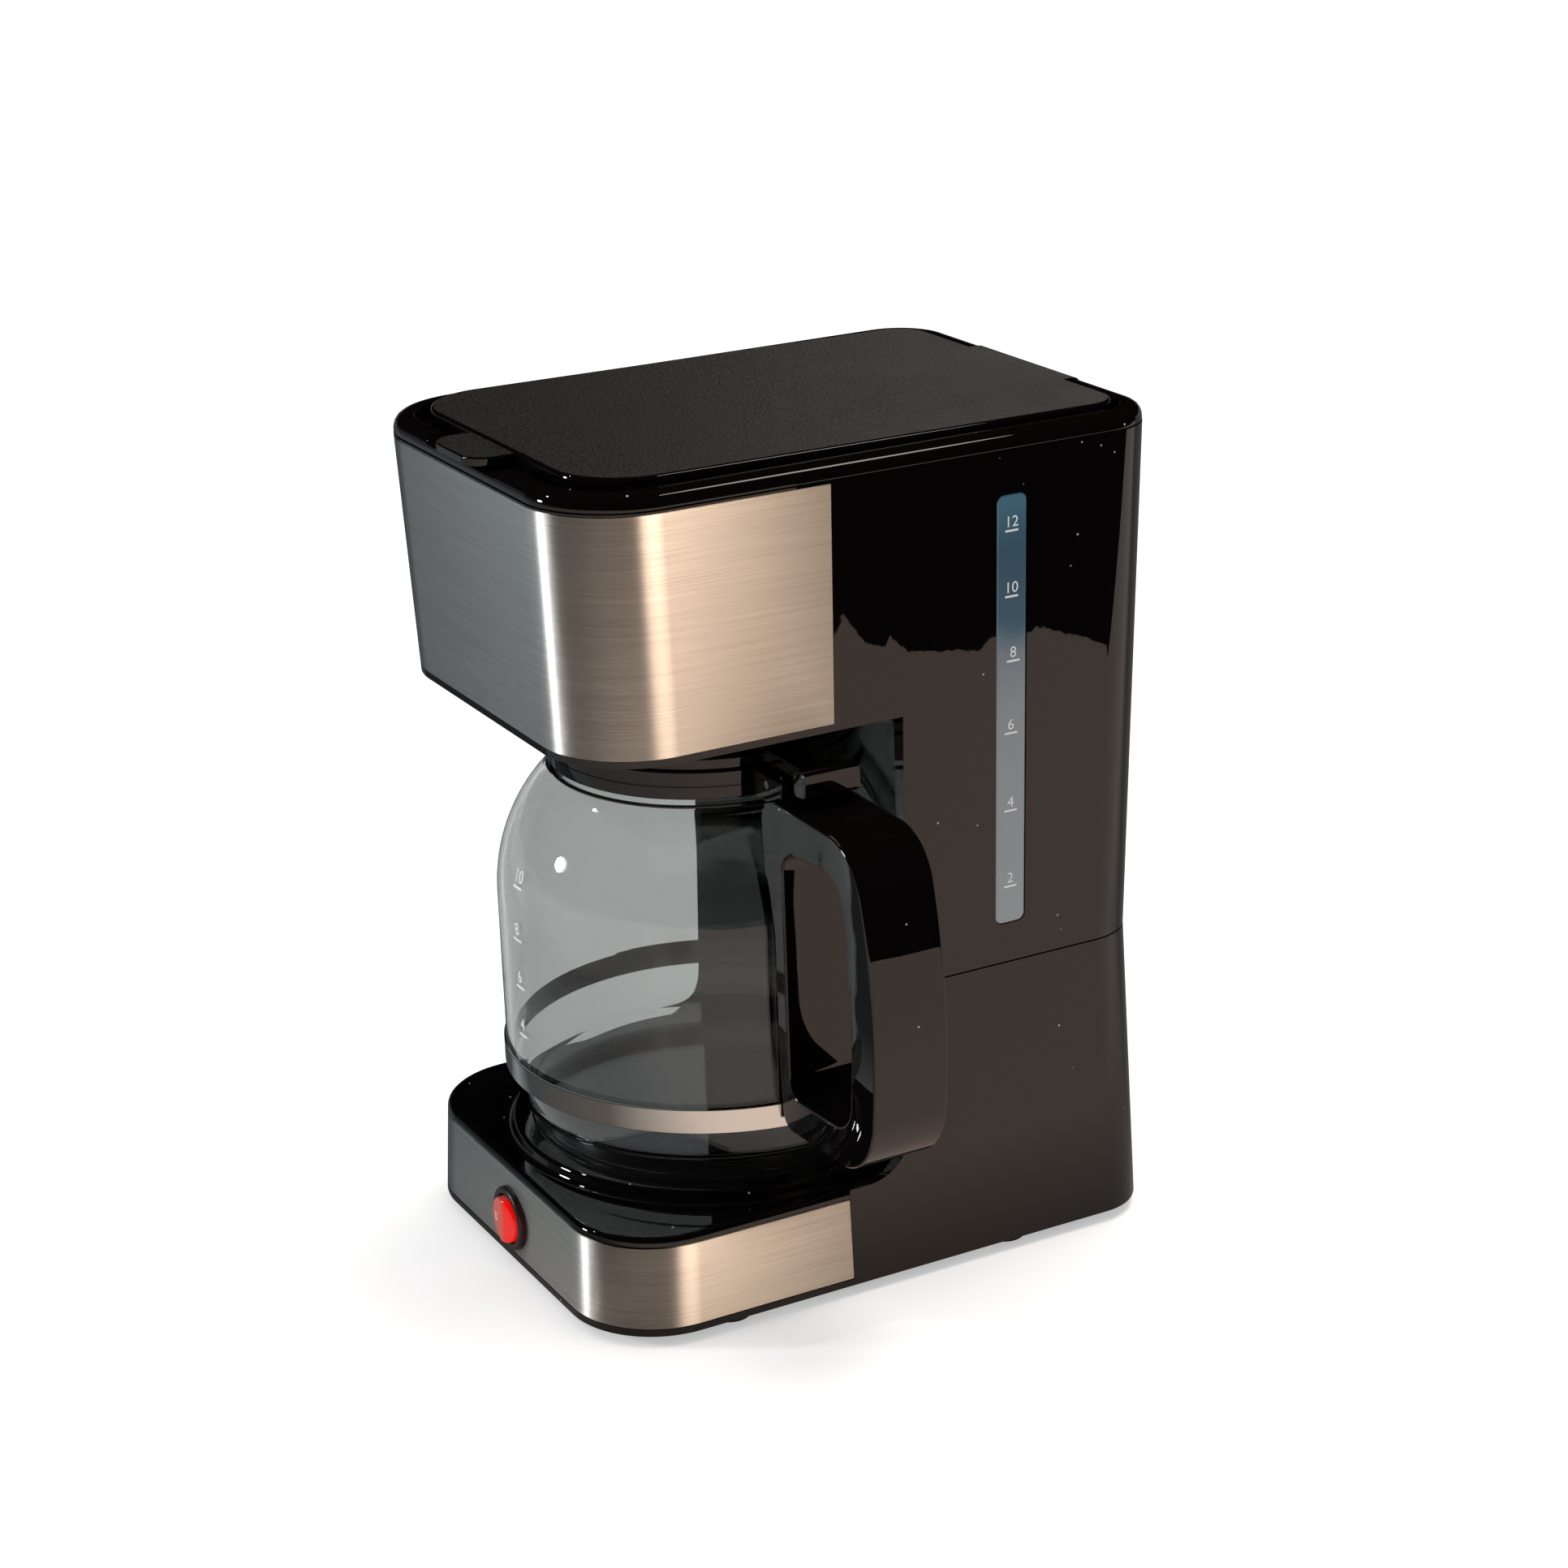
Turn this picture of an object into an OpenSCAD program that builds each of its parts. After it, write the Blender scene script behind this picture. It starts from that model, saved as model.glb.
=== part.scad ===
// Drip coffee maker: glass carafe on a hot plate under a head that holds the brew basket,
// with the water tank in the tower behind. Millimetres, +Z up, front towards -Y.

/* [Body] */
// Width across the top of the upper housing
body_w = 170; // [168:1:172]
// Distance of the head's front face from the rear ends of the steel wraps
head_reach = 96; // [95:0.5:97]
// Distance of the tower's back from the rear ends of the steel wraps
tower_reach = 134; // [133:0.5:136]
// Wall thickness of the moulded housings
wall = 2.6; // [2.2:0.1:3]
// Corner radius at the front of the head and base
front_corner_r = 34; // [32:1:35]
// Corner radius at the back of the tower
rear_corner_r = 22; // [20:1:24]
// Draft of the upper housing's sides and back, in degrees
upper_draft = 1.46; // [1.3:0.02:1.6]
// Draft of the head's front face, in degrees
front_draft = 2.2; // [2:0.1:2.4]
// Flare of the lower housing's sides, in degrees
skirt_flare = 3.2; // [3:0.1:3.4]

/* [Heights] */
// Underside of the lower housing above the table
skirt_z = 4; // [3.5:0.5:4.5]
// Underside of the deck that carries the hot plate
deck_z = 38; // [37.5:0.5:38.5]
// Top face of the hot plate
plate_z = 53.3; // [53:0.1:53.5]
// Seam between the lower and the upper housing
seam_z = 112; // [110:1:114]
// Ceiling over the carafe
ceiling_z = 213.6; // [213.4:0.1:213.8]
// Top edge of the steel wrap round the head
wrap_top_z = 300.5; // [300:0.5:301]
// Top edge of the upper housing
housing_top_z = 301.7; // [301.6:0.1:301.8]
// Top of the rim that frames the lid
rim_top_z = 307.6; // [307.4:0.1:307.8]
// Top face of the lid at its hinged edge
lid_top_z = 309; // [308.8:0.1:309.2]
// Slope of the closed lid up to its front edge, in degrees
lid_rise = 0.35; // [0.3:0.05:0.4]

/* [Carafe] */
// Distance of the carafe's axis in front of the rear ends of the steel wraps
carafe_back = 8; // [7.5:0.5:8.5]
// Largest radius of the glass
glass_r = 77.5; // [77:0.5:78]
// Thickness of the glass
glass_t = 2.4; // [2:0.2:3]
// Radius of the niche in the tower that the carafe stands in
niche_r = 84; // [83.5:0.5:84.5]
// Front face of the tower beside the niche
tower_front = 27; // [26:1:28]
// Reach of the handle from the carafe's axis
handle_reach = 144; // [143:0.2:145]
// Width of the handle
handle_w = 28.6; // [27:0.2:29]

/* [Controls] */
// Diameter of the rocker switch's bezel
bezel_d = 24; // [23.5:0.5:24.5]
// Height of the rocker switch's centre
switch_z = 20; // [19.5:0.5:21]
// Full rock of the switch, in degrees
rock = 8; // [7:1:9]
// Radius of the cable bush's bore
gland_r = 3.4; // [3:0.1:3.6]

/* [Hidden] */
$fn = 64;

gloss = "#14110f";
satin = "#26262a";
steel = "#a9a29a";
bright = "#c9c7c4";
clear = [0.8, 0.88, 0.92, 0.35];
milky = [0.62, 0.68, 0.76, 0.6];
alloy = "#b9bbbd";
silicone = "#d9d4c8";
lamp_red = "#c81e14";

axis_y = -carafe_back;
skirt_front_y = -head_reach + 0.5;
overflow_lip = 2.3;
lip_z = 289;
tab_y = -99.5;

// The drafted outline at height z: half width, front and back
function upper_half(z) = body_w / 2 - (wrap_top_z - z) * tan(upper_draft);
function lower_half(z) = upper_half(seam_z) + (seam_z - z) * tan(skirt_flare);
function half_w(z) = z < seam_z ? lower_half(z) : upper_half(z);
function upper_back(z) = tower_reach - (wrap_top_z - z) * tan(1.35);
function back_y(z) = z < seam_z ? upper_back(seam_z) + (seam_z - z) * tan(0.6) : upper_back(z);
function upper_front(z) = -head_reach + (wrap_top_z - z) * tan(front_draft);
function front_y(z) = z < seam_z ? skirt_front_y + (z - skirt_z) * tan(2.8) : upper_front(z);

// The frame's origin is the middle of the whole object's footprint, on the table
mid_x = (handle_reach - lower_half(skirt_z)) / 2;
mid_y = (upper_back(lip_z) + overflow_lip + tab_y) / 2;

function arc(cx, cy, r, a0, a1, n = 8) =
    [for (i = [0:n]) [cx + r * cos(a0 + (a1 - a0) * i / n), cy + r * sin(a0 + (a1 - a0) * i / n)]];

function rounded(hw, y0, y1, rf, rr) = concat(
    arc(hw - rr, y1 - rr, rr, 0, 90), arc(-hw + rr, y1 - rr, rr, 90, 180),
    arc(-hw + rf, y0 + rf, rf, 180, 270), arc(hw - rf, y0 + rf, rf, 270, 360));

function body_outline(z, inset) = rounded(half_w(z) - inset, front_y(z) + inset,
    back_y(z) - inset, front_corner_r - inset, rear_corner_r - inset);

lid_half = 73.8;
lid_front = -83.5;
lid_back = 124.3;
function lid_outline(inset) = rounded(lid_half - inset, lid_front + inset, lid_back - inset,
    26 - inset, 13 - inset);

module stand() translate([-mid_x, -mid_y, 0]) children();

module skin(low, high, z0, z1) {
    n = len(low);
    polyhedron(
        points = concat([for (p = low) [p.x, p.y, z0]], [for (p = high) [p.x, p.y, z1]]),
        faces = concat([[for (i = [0:n - 1]) i]], [[for (i = [n - 1:-1:0]) n + i]],
            [for (i = [0:n - 1]) [i, n + i, n + (i + 1) % n, (i + 1) % n]]));
}

// A drafted block of the body's own outline between two heights
module body_block(z0, z1, inset0 = 0, inset1 = undef)
    skin(body_outline(z0, inset0), body_outline(z1, is_undef(inset1) ? inset0 : inset1), z0, z1);

module lid_block(z0, z1, inset0 = 0, inset1 = undef)
    skin(lid_outline(inset0), lid_outline(is_undef(inset1) ? inset0 : inset1), z0, z1);

module at_axis(z = 0) translate([0, axis_y, z]) children();

// The space in front of the tower that the carafe slides into
module bay(z0, z1, grow = 0) {
    translate([-120, -150, z0]) cube([240, 150 + tower_front + grow, z1 - z0]);
    at_axis(z0) cylinder(r = niche_r + grow, h = z1 - z0, $fn = 128);
}

module both_sides() {
    children();
    mirror([1, 0, 0]) children();
}

module along_x(r, x0, x1) translate([x0, 0, 0]) rotate([0, 90, 0]) cylinder(r = r, h = x1 - x0);

module along_y(r, y0, y1) translate([0, y0, 0]) rotate([-90, 0, 0]) cylinder(r = r, h = y1 - y0);

module ring(r0, r1, z0, z1) difference() {
    translate([0, 0, z0]) cylinder(r = r1, h = z1 - z0, $fn = 128);
    translate([0, 0, z0 - 1]) cylinder(r = r0, h = z1 - z0 + 2, $fn = 128);
}

/* Lower housing and base */

screw_spots = [[79.2, -24], [79.2, 58], [30, 124.6]];
boss_r = 4.6;
boss_top_z = 26;
cover_z = 4.5;
cover_t = 2.4;
band_t = 0.7;
recess = 0.8;
base_band_z = 7;
base_band_top = 37.3;
deck_top_z = 41.2;
gland_x = 46;
gland_z = 24;
gland_sleeve_r = 6;

// Where the tower's side walls run out along the deck and sweep up to the tower's front
cheek_start = 0.3;
cheek_run = 19;
cheek_rise = 20;

module cheeks() {
    sweep = [for (a = [0:6:90]) [tower_front - cheek_run * (1 - cos(a)),
        deck_top_z + cheek_rise * (1 - sin(a))]];
    intersection() {
        body_block(deck_z, seam_z);
        difference() {
            both_sides() translate([66, 0, 0]) rotate([90, 0, 90]) linear_extrude(24)
                polygon(concat([[tower_front + 1, deck_z], [tower_front + 1, deck_top_z + cheek_rise]],
                    sweep, [[cheek_start, deck_top_z], [cheek_start, deck_z]]));
            at_axis(deck_z - 1) cylinder(r = niche_r, h = 40, $fn = 128);
        }
    }
}

module screw_bosses() {
    both_sides() for (p = screw_spots) translate([p.x, p.y, cover_z + cover_t]) difference() {
        cylinder(r = boss_r, h = boss_top_z - cover_z);
        translate([0, 0, -1]) cylinder(r = 1.6, h = 16);
    }
}

// The base's side walls up to the deck
module base_skirt() color(gloss) stand() {
    difference() {
        body_block(skirt_z, deck_z);
        difference() {
            body_block(skirt_z - 1, deck_z + 1, wall);
            screw_bosses();
        }
        for (p = screw_spots) both_sides() translate([p.x, p.y, 0]) cylinder(r = 1.6, h = 20);
        difference() {
            translate([-100, -110, base_band_z - 0.2]) cube([200, 110.2, deck_z]);
            body_block(skirt_z, deck_z + 20, recess);
        }
        translate([0, 0, switch_z]) along_y(10.1, -110, -80);
        translate([gland_x, 0, gland_z]) along_y(gland_sleeve_r + 0.1, 110, 140);
    }
}

// The tower's walls from the deck up to the seam
module lower_housing() color(gloss) stand() {
    difference() {
        body_block(deck_z, seam_z);
        difference() {
            body_block(deck_z - 1, seam_z + 1, wall);
            bay(deck_z - 2, seam_z + 2, wall);
        }
        bay(deck_z - 1, seam_z + 1);
    }
    cheeks();
}

module base_deck() color(gloss) stand() {
    hole_r = 69.4;
    difference() {
        union() {
            intersection() {
                union() {
                    body_block(deck_z, deck_top_z - 1);
                    body_block(deck_top_z - 1, deck_top_z, 0, 0.9);
                }
                union() {
                    translate([-120, -150, deck_z]) cube([240, 150 + cheek_start - 0.15, 10]);
                    at_axis(deck_z) cylinder(r = niche_r - 0.15, h = 10, $fn = 128);
                }
            }
            at_axis(0) rotate_extrude($fn = 128) polygon([[66, 41.5], [66, 44], [hole_r, 44],
                [hole_r, 45.4], [hole_r + 0.8, 46], [75.6, 46], [76.8, 45.2], [78, 42.2], [80, deck_top_z],
                [80, deck_z], [76, deck_z], [76, 41.5]]);
        }
        at_axis(deck_z - 1) cylinder(r = 66, h = 20, $fn = 128);
        at_axis(deck_z - 1) cylinder(r = 76, h = 4.5, $fn = 128);
    }
}

// The front half of the body's outline, from one rear end of a steel wrap round to the other
function front_path(z, inset) = let (hw = half_w(z) - inset, y0 = front_y(z) + inset,
    r = front_corner_r - inset) concat([[-hw, 0]], arc(-hw + r, y0 + r, r, 180, 270),
    arc(hw - r, y0 + r, r, 270, 360), [[hw, 0]]);

function raised(path, z) = [for (p = path) [p.x, p.y, z]];

// A steel strip that wraps the front of the body between two heights
module wrap(z0, z1) {
    outer_low = raised(front_path(z0, 0), z0);
    inner_low = raised(front_path(z0, band_t), z0);
    inner_high = raised(front_path(z1, band_t), z1);
    outer_high = raised(front_path(z1, 0), z1);
    n = len(outer_low);
    last = 4 * (n - 1);
    polyhedron(
        points = [for (i = [0:n - 1]) each [outer_low[i], inner_low[i], inner_high[i], outer_high[i]]],
        faces = concat([[0, 1, 2, 3]], [[last, last + 3, last + 2, last + 1]],
            [for (i = [0:4:last - 4]) each [[i, i + 3, i + 7, i + 4], [i + 1, i + 5, i + 6, i + 2],
                [i, i + 4, i + 5, i + 1], [i + 3, i + 2, i + 6, i + 7]]]));
}

module base_band() color(steel) stand() difference() {
    wrap(base_band_z, base_band_top);
    translate([0, 0, switch_z]) along_y(10.3, -110, -80);
}

module bottom_cover() color(satin) stand() difference() {
    body_block(cover_z, cover_z + cover_t, wall + 0.3);
    both_sides() for (p = screw_spots) translate([p.x, p.y, 0]) cylinder(r = 1.8, h = 20);
    for (y = [-40:12:32]) translate([-24, y, 0]) cube([48, 3.2, 20]);
    both_sides() for (y = foot_y) translate([foot_x, y, 0]) cylinder(r = 3.1, h = 20);
}

module bottom_screws() color(alloy) stand() both_sides() for (p = screw_spots)
    translate([p.x, p.y, 0]) {
        translate([0, 0, cover_z - 1.6]) cylinder(r = 3.4, h = 1.6);
        translate([0, 0, cover_z - 0.1]) cylinder(r = 1.5, h = 12);
    }

foot_x = 73.5;
foot_y = [-44, 71];

module feet() color("#1c1c1c") stand() both_sides() for (y = foot_y) translate([foot_x, y, 0]) {
    cylinder(r = 8, h = cover_z);
    cylinder(r = 3, h = cover_z + cover_t);
    translate([0, 0, cover_z + cover_t]) cylinder(r = 4.2, h = 1.6);
}

/* Hot plate and heater */

plate_under_z = plate_z - 1.5;
tube_z = 38.6;
tube_r = 5;
element_r = 44;
port_x = element_r * cos(58);
port_y = axis_y + element_r * sin(58);
bracket_z = tube_z - tube_r - 1.8;

module hot_plate() color("#2b2b2d") stand() at_axis() {
    rotate_extrude($fn = 128) polygon([[0, plate_under_z], [62.6, plate_under_z], [65.2, 45.5],
        [69, 45.5], [69, 47], [66.4, 47], [63.8, plate_z - 0.6], [63, plate_z], [0, plate_z]]);
    translate([0, 0, bracket_z - 8]) cylinder(r = 2.4, h = plate_under_z - bracket_z + 8);
}

module plate_gasket() color(silicone) stand() at_axis() ring(66.4, 69, 44, 45.5);

// Part of a ring round the plate's axis, open towards the tower
module horseshoe() at_axis() rotate([0, 0, 122]) rotate_extrude(angle = 296, $fn = 96)
    translate([element_r, 0]) children();

module heating_element() color(alloy) stand() {
    horseshoe() translate([0, tube_z]) circle(r = tube_r, $fn = 32);
    horseshoe() translate([-2.2, tube_z + 3]) square([4.4, plate_under_z - tube_z - 6]);
    horseshoe() translate([0, plate_under_z - 3.9]) circle(r = 3.8, $fn = 32);
    both_sides() translate([port_x, port_y, 29]) cylinder(r = 3.6, h = tube_z - 29);
}

module element_bracket() color(alloy) stand() difference() {
    at_axis(bracket_z) translate([-51, -8, 0]) cube([102, 16, 1.6]);
    at_axis(bracket_z - 1) cylinder(r = 2.7, h = 4);
}

module bracket_nut() color(alloy) stand() difference() {
    at_axis(bracket_z - 4) cylinder(r = 4.6, h = 4, $fn = 6);
    at_axis(bracket_z - 5) cylinder(r = 2.5, h = 6);
}

module thermostat() color("#3a2f26") stand() translate([24, axis_y, bracket_z + 1.6]) {
    cylinder(r = 7.5, h = 5.5);
    for (x = [-4, 4]) translate([x - 1.6, -0.4, 5]) cube([3.2, 0.8, 6]);
}

module thermal_fuses() color("#d8d3c6") stand() for (y = [-4.5, 4.5])
    translate([-24, axis_y + y, bracket_z + 3.8]) along_x(2.2, -8, 8);

/* Water path: tank, check valve, heater, riser and spout */

hose_r = 5.6;
hose_low_z = 16;
bend_r = 11;
hose_up_y = 100;
tank_floor_z = 116;
hose_top_z = 106;

// A hose from a heater port, down, back under the deck and up inside the tower
module base_hose() difference() {
    hose_solid(hose_r, 0);
    hose_solid(hose_r - 1.9, 1);
}

module hose_solid(r, past) {
    bend_z = hose_low_z + bend_r;
    translate([0, port_y, bend_z]) cylinder(r = r, h = 6 + past);
    translate([0, port_y + bend_r, bend_z]) elbow(r, bend_r, 180);
    translate([0, 0, hose_low_z]) along_y(r, port_y + bend_r, hose_up_y - bend_r);
    translate([0, hose_up_y - bend_r, bend_z]) elbow(r, bend_r, 270);
    translate([0, hose_up_y, bend_z]) cylinder(r = r, h = hose_top_z - bend_z + past);
}

// A quarter bend in the YZ plane that begins at a given angle
module elbow(r, bend, start) rotate([90, 0, 90]) rotate([0, 0, start]) rotate_extrude(angle = 90)
    translate([bend, 0]) circle(r = r, $fn = 32);

module inlet_hose() color(silicone) stand() translate([port_x, 0, 0]) base_hose();

module outlet_hose() color(silicone) stand() translate([-port_x, 0, 0]) base_hose();

module check_valve() color("#e6e6e2") stand() translate([port_x, hose_up_y, 0]) difference() {
    union() {
        translate([0, 0, hose_top_z - 14]) cylinder(r = hose_r - 2, h = 14);
        translate([0, 0, hose_top_z]) cylinder(r = hose_r + 1, h = 2);
    }
    translate([0, 0, hose_top_z - 15]) cylinder(r = 1.4, h = 20);
    translate([0, 0, hose_top_z - 10]) cylinder(r = 2.6, h = 20);
}

module check_ball() color("#9a3b2e") stand()
    translate([port_x, hose_up_y, hose_top_z - 7.2]) sphere(r = 2.3);

tank_gap = wall + 0.6;
tank_t = 1.8;
tank_top_z = 289;
tank_front_y = 50;

module tank_solid(z0, z1, inset) difference() {
    body_block(z0, z1, tank_gap + inset);
    bay(z0 - 1, z1 + 1, tank_gap + inset);
    translate([-120, -150, z0 - 1]) cube([240, 150 + tank_front_y + inset, z1 - z0 + 2]);
}

module water_tank() color(milky) stand() difference() {
    union() {
        tank_solid(tank_floor_z, tank_top_z, 0);
        both_sides() translate([port_x, hose_up_y, hose_top_z + 2.1])
            cylinder(r = hose_r, h = tank_floor_z - hose_top_z - 2);
    }
    tank_solid(tank_floor_z + tank_t, tank_top_z + 1, tank_t);
    translate([port_x, hose_up_y, hose_top_z]) cylinder(r = 2.6, h = 20);
    translate([-port_x, hose_up_y, hose_top_z]) cylinder(r = pipe_r + 0.1, h = 20);
}

window_y = 64.5;
window_w = 12.4;
window_z = 127;
window_h = 159;

module window_prism(gap) translate([60, window_y + gap, window_z + gap]) rotate([90, 0, 90])
    linear_extrude(40) {
        r = 3 - gap;
        w = window_w - 2 * gap;
        h = window_h - 2 * gap;
        for (x = [r, w - r], y = [r, h - r]) translate([x, y]) circle(r = r, $fn = 32);
        translate([r, 0]) square([w - 2 * r, h]);
        translate([0, r]) square([w, h - 2 * r]);
    }

module level_window() color(milky) stand() intersection() {
    window_prism(0.12);
    difference() {
        body_block(seam_z, wrap_top_z, 0.25);
        body_block(seam_z - 1, wrap_top_z + 1, wall + 0.3);
    }
}

spout_z = 297;
spout_y = 64.8;
pipe_r = 3.6;

module riser_pipe() color("#e6e6e2") stand() translate([-port_x, 0, 0]) difference() {
    pipe_solid(pipe_r, 0);
    pipe_solid(pipe_r - 1.1, 1);
}

module pipe_solid(r, past) {
    translate([0, hose_up_y, hose_top_z - 16 - past])
        cylinder(r = r, h = spout_z - 8 - hose_top_z + 16 + past);
    translate([0, hose_up_y - 8, spout_z - 8]) elbow(r, 8, 0);
    translate([0, 0, spout_z]) along_y(r, spout_y - past, hose_up_y - 8);
}

/* Switch and cable bush */

bezel_t = 2.2;
switch_y = front_y(switch_z);
rocker_y = switch_y + 1.2;
rocker_r = 8.75;
pivot_r = 1.2;
pivot_half = 9.7;

module switch_housing() color("#101010") stand() translate([0, 0, switch_z]) difference() {
    union() {
        difference() {
            along_y(bezel_d / 2, switch_y - bezel_t, switch_y + 1);
            translate([0, 0, -switch_z]) body_block(skirt_z, deck_z, -0.05);
        }
        along_y(9.9, switch_y - 1, switch_y + 21);
        for (x = [-5, 5]) translate([x - 2.4, switch_y + 20, -0.4]) cube([4.8, 8, 0.8]);
    }
    along_y(rocker_r + 0.6, switch_y - 10, switch_y + 14);
    translate([0, rocker_y, -12]) cylinder(r = pivot_r + 0.06, h = 24);
}

// Two faces meet in a ridge in front of the pivot, and the right one is pressed in
module switch_rocker() color(lamp_red) stand() translate([0, rocker_y, switch_z])
    rotate([0, 0, rock / 2]) {
        intersection() {
            along_y(rocker_r, -10, 10);
            translate([0, 0, -10]) linear_extrude(20) polygon([[-10, -4.2], [0, -5.8], [10, -4.2], [10, 1],
                [4, 5], [-4, 5], [-10, 1]]);
        }
        translate([0, 0, -pivot_half]) cylinder(r = pivot_r, h = 2 * pivot_half);
    }

module cord_gland() color("#161616") stand() translate([gland_x, 0, gland_z]) difference() {
    union() {
        along_y(gland_sleeve_r, back_y(gland_z) - 8, back_y(gland_z) + 0.5);
        along_y(gland_sleeve_r + 2.5, back_y(gland_z) + 0.12, back_y(gland_z) + 2.4);
        along_y(gland_sleeve_r + 1.5, back_y(gland_z) - 8, back_y(gland_z) - wall - 0.4);
    }
    along_y(gland_r, 100, 150);
}

/* Upper housing, rim and head */

ceiling_t = 2.5;
outlet_r = 14;
hinge_y = 130;
hinge_z = 305;
knuckle_r = 2.95;
rod_r = 1.5;
gap_half = 33.5;
rod_end = 41;
rim_shoulder_z = rim_top_z - 3;
rim_edge = 4.4;
rim_w = 8.2;
lid_seat_w = 13.5;
lid_seat_z = housing_top_z - 0.5;
rim_plug_z = housing_top_z - 2.1;
pocket_r = 66;
holder_top_z = 283.6;
finger_gap = 29;

module upper_housing() color(gloss) stand() {
    difference() {
        body_block(seam_z, housing_top_z);
        difference() {
            body_block(seam_z - 1, housing_top_z + 1, wall);
            bay(seam_z - 2, ceiling_z + ceiling_t, wall);
        }
        bay(seam_z - 1, ceiling_z);
        difference() {
            translate([-100, -110, ceiling_z + ceiling_t])
                cube([200, 110.2, wrap_top_z - ceiling_z - ceiling_t + 0.2]);
            body_block(seam_z, housing_top_z + 1, recess);
        }
        at_axis(ceiling_z - 1) cylinder(r = outlet_r, h = 10);
        window_prism(0);
    }
    translate([-18, upper_back(lip_z) - 1, lip_z - 4]) cube([36, overflow_lip + 1, 9]);
}

module head_band() color(steel) stand() wrap(ceiling_z + ceiling_t, wrap_top_z);

module top_rim() color(gloss) stand() difference() {
    union() {
        body_block(housing_top_z, rim_shoulder_z, 0.2, 0.7);
        body_block(rim_shoulder_z, rim_top_z, 0.7, rim_edge);
        body_block(rim_plug_z, housing_top_z + 0.1, wall + 0.25);
    }
    body_block(lid_seat_z, rim_top_z + 1, rim_w);
    body_block(rim_plug_z - 1, rim_top_z + 1, lid_seat_w);
    translate([-gap_half, 112, 290]) cube([2 * gap_half, 40, 30]);
    translate([-finger_gap, -120, rim_shoulder_z]) cube([2 * finger_gap, 50, 10]);
    translate([0, hinge_y, hinge_z]) along_x(rod_r + 0.06, -rod_end, rod_end);
}

module basket_holder() color(satin) stand() at_axis() {
    ring(62.6, pocket_r, ceiling_z + ceiling_t + 2, holder_top_z);
    ring(outlet_r, pocket_r, ceiling_z + ceiling_t, ceiling_z + ceiling_t + 2);
}

/* Lid */

lid_skirt_z = 301.6;
lid_wall = 2.2;
tab_half = 18;
tab_t = 3.4;

module lid_cover() color(satin) stand() translate([0, hinge_y, hinge_z]) rotate([-lid_rise, 0, 0])
    translate([0, -hinge_y, -hinge_z]) difference() {
        union() {
            difference() {
                union() {
                    lid_block(lid_skirt_z, lid_top_z - 1.2);
                    lid_block(lid_top_z - 1.2, lid_top_z, 0, 1.2);
                }
                lid_block(lid_skirt_z - 1, lid_top_z - lid_wall, lid_wall);
            }
            finger_tab();
            translate([-32, lid_back - 3, hinge_z]) cube([64, hinge_y - lid_back + 3, knuckle_r]);
            translate([0, hinge_y, hinge_z]) along_x(knuckle_r, -32, 32);
        }
        translate([0, hinge_y, hinge_z]) along_x(rod_r + 0.06, -33, 33);
    }

// The finger tab at the lid's front edge
module finger_tab() translate([0, 0, lid_top_z - tab_t - 0.9]) linear_extrude(tab_t)
    polygon(concat(arc(-tab_half + 9, tab_y + 9, 9, 180, 270), arc(tab_half - 9, tab_y + 9, 9, 270, 360),
        [[tab_half, lid_front + 3], [-tab_half, lid_front + 3]]));

module lid_liner() color(satin) stand() difference() {
    union() {
        lid_block(302.4, 304.4, 2.6);
        translate([0, 0, 292.6]) linear_extrude(10) trough(0);
    }
    translate([0, 0, 294.2]) linear_extrude(8) trough(1.6);
    at_axis(290) {
        cylinder(r = 1.5, h = 8);
        for (k = [1, 2], a = [0:45 / k:359]) rotate([0, 0, a]) translate([k * 9, 0, 0])
            cylinder(r = 1.5, h = 8);
    }
    translate([-port_x - 5, 56, 294.2]) cube([10, 20, 6.5]);
}

module trough(inset) hull() {
    translate([-port_x, 55]) circle(r = 8.6 - inset, $fn = 32);
    translate([0, axis_y]) circle(r = 26 - inset, $fn = 48);
}

module lid_hinge_rod() color(alloy) stand()
    translate([0, hinge_y, hinge_z]) along_x(rod_r, -rod_end + 0.5, rod_end - 0.5);

/* Brew basket and drip stop */

basket_floor_z = 224;
nozzle_z = 214.4;
seat_z = nozzle_z + 2;
valve_travel = 4;
valve_tip_z = 206.8;
valve_head_z = seat_z + valve_travel + 0.4;

module filter_basket() color(satin) stand() at_axis() {
    rotate_extrude($fn = 128) polygon([[11, basket_floor_z], [36, basket_floor_z],
        [59.5, holder_top_z + 0.4], [65, holder_top_z + 0.4], [65, holder_top_z + 3], [57.4, holder_top_z + 3],
        [34.2, basket_floor_z + 2.2], [11, basket_floor_z + 2.2]]);
}

// The screwed-in spout that the drip valve closes
module basket_spout() color(satin) stand() at_axis() rotate_extrude($fn = 64)
    polygon([[6.6, seat_z], [4.4, seat_z], [4.4, nozzle_z], [9.6, nozzle_z],
        [10.95, basket_floor_z], [10.95, basket_floor_z + 2.2], [6.6, basket_floor_z + 2.2]]);

mesh_floor_z = 234.4;

module mesh_filter() color("#8f8b80") stand() at_axis() {
    rotate_extrude($fn = 96) polygon([[0, mesh_floor_z], [35, mesh_floor_z], [53, holder_top_z - 4],
        [54.6, holder_top_z - 4], [56.1, holder_top_z], [51.8, holder_top_z], [51.8, holder_top_z - 3.4],
        [34.2, mesh_floor_z + 1], [0, mesh_floor_z + 1]]);
}

cage_z = basket_floor_z + 2.25;

module valve_cage() color(satin) stand() at_axis(cage_z) difference() {
    cylinder(r = 9, h = 7);
    translate([0, 0, -1]) cylinder(r = 7.2, h = 6.8);
    for (a = [0:60:120]) rotate([0, 0, a]) translate([-12, -1.6, 1]) cube([24, 3.2, 3.4]);
}

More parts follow.
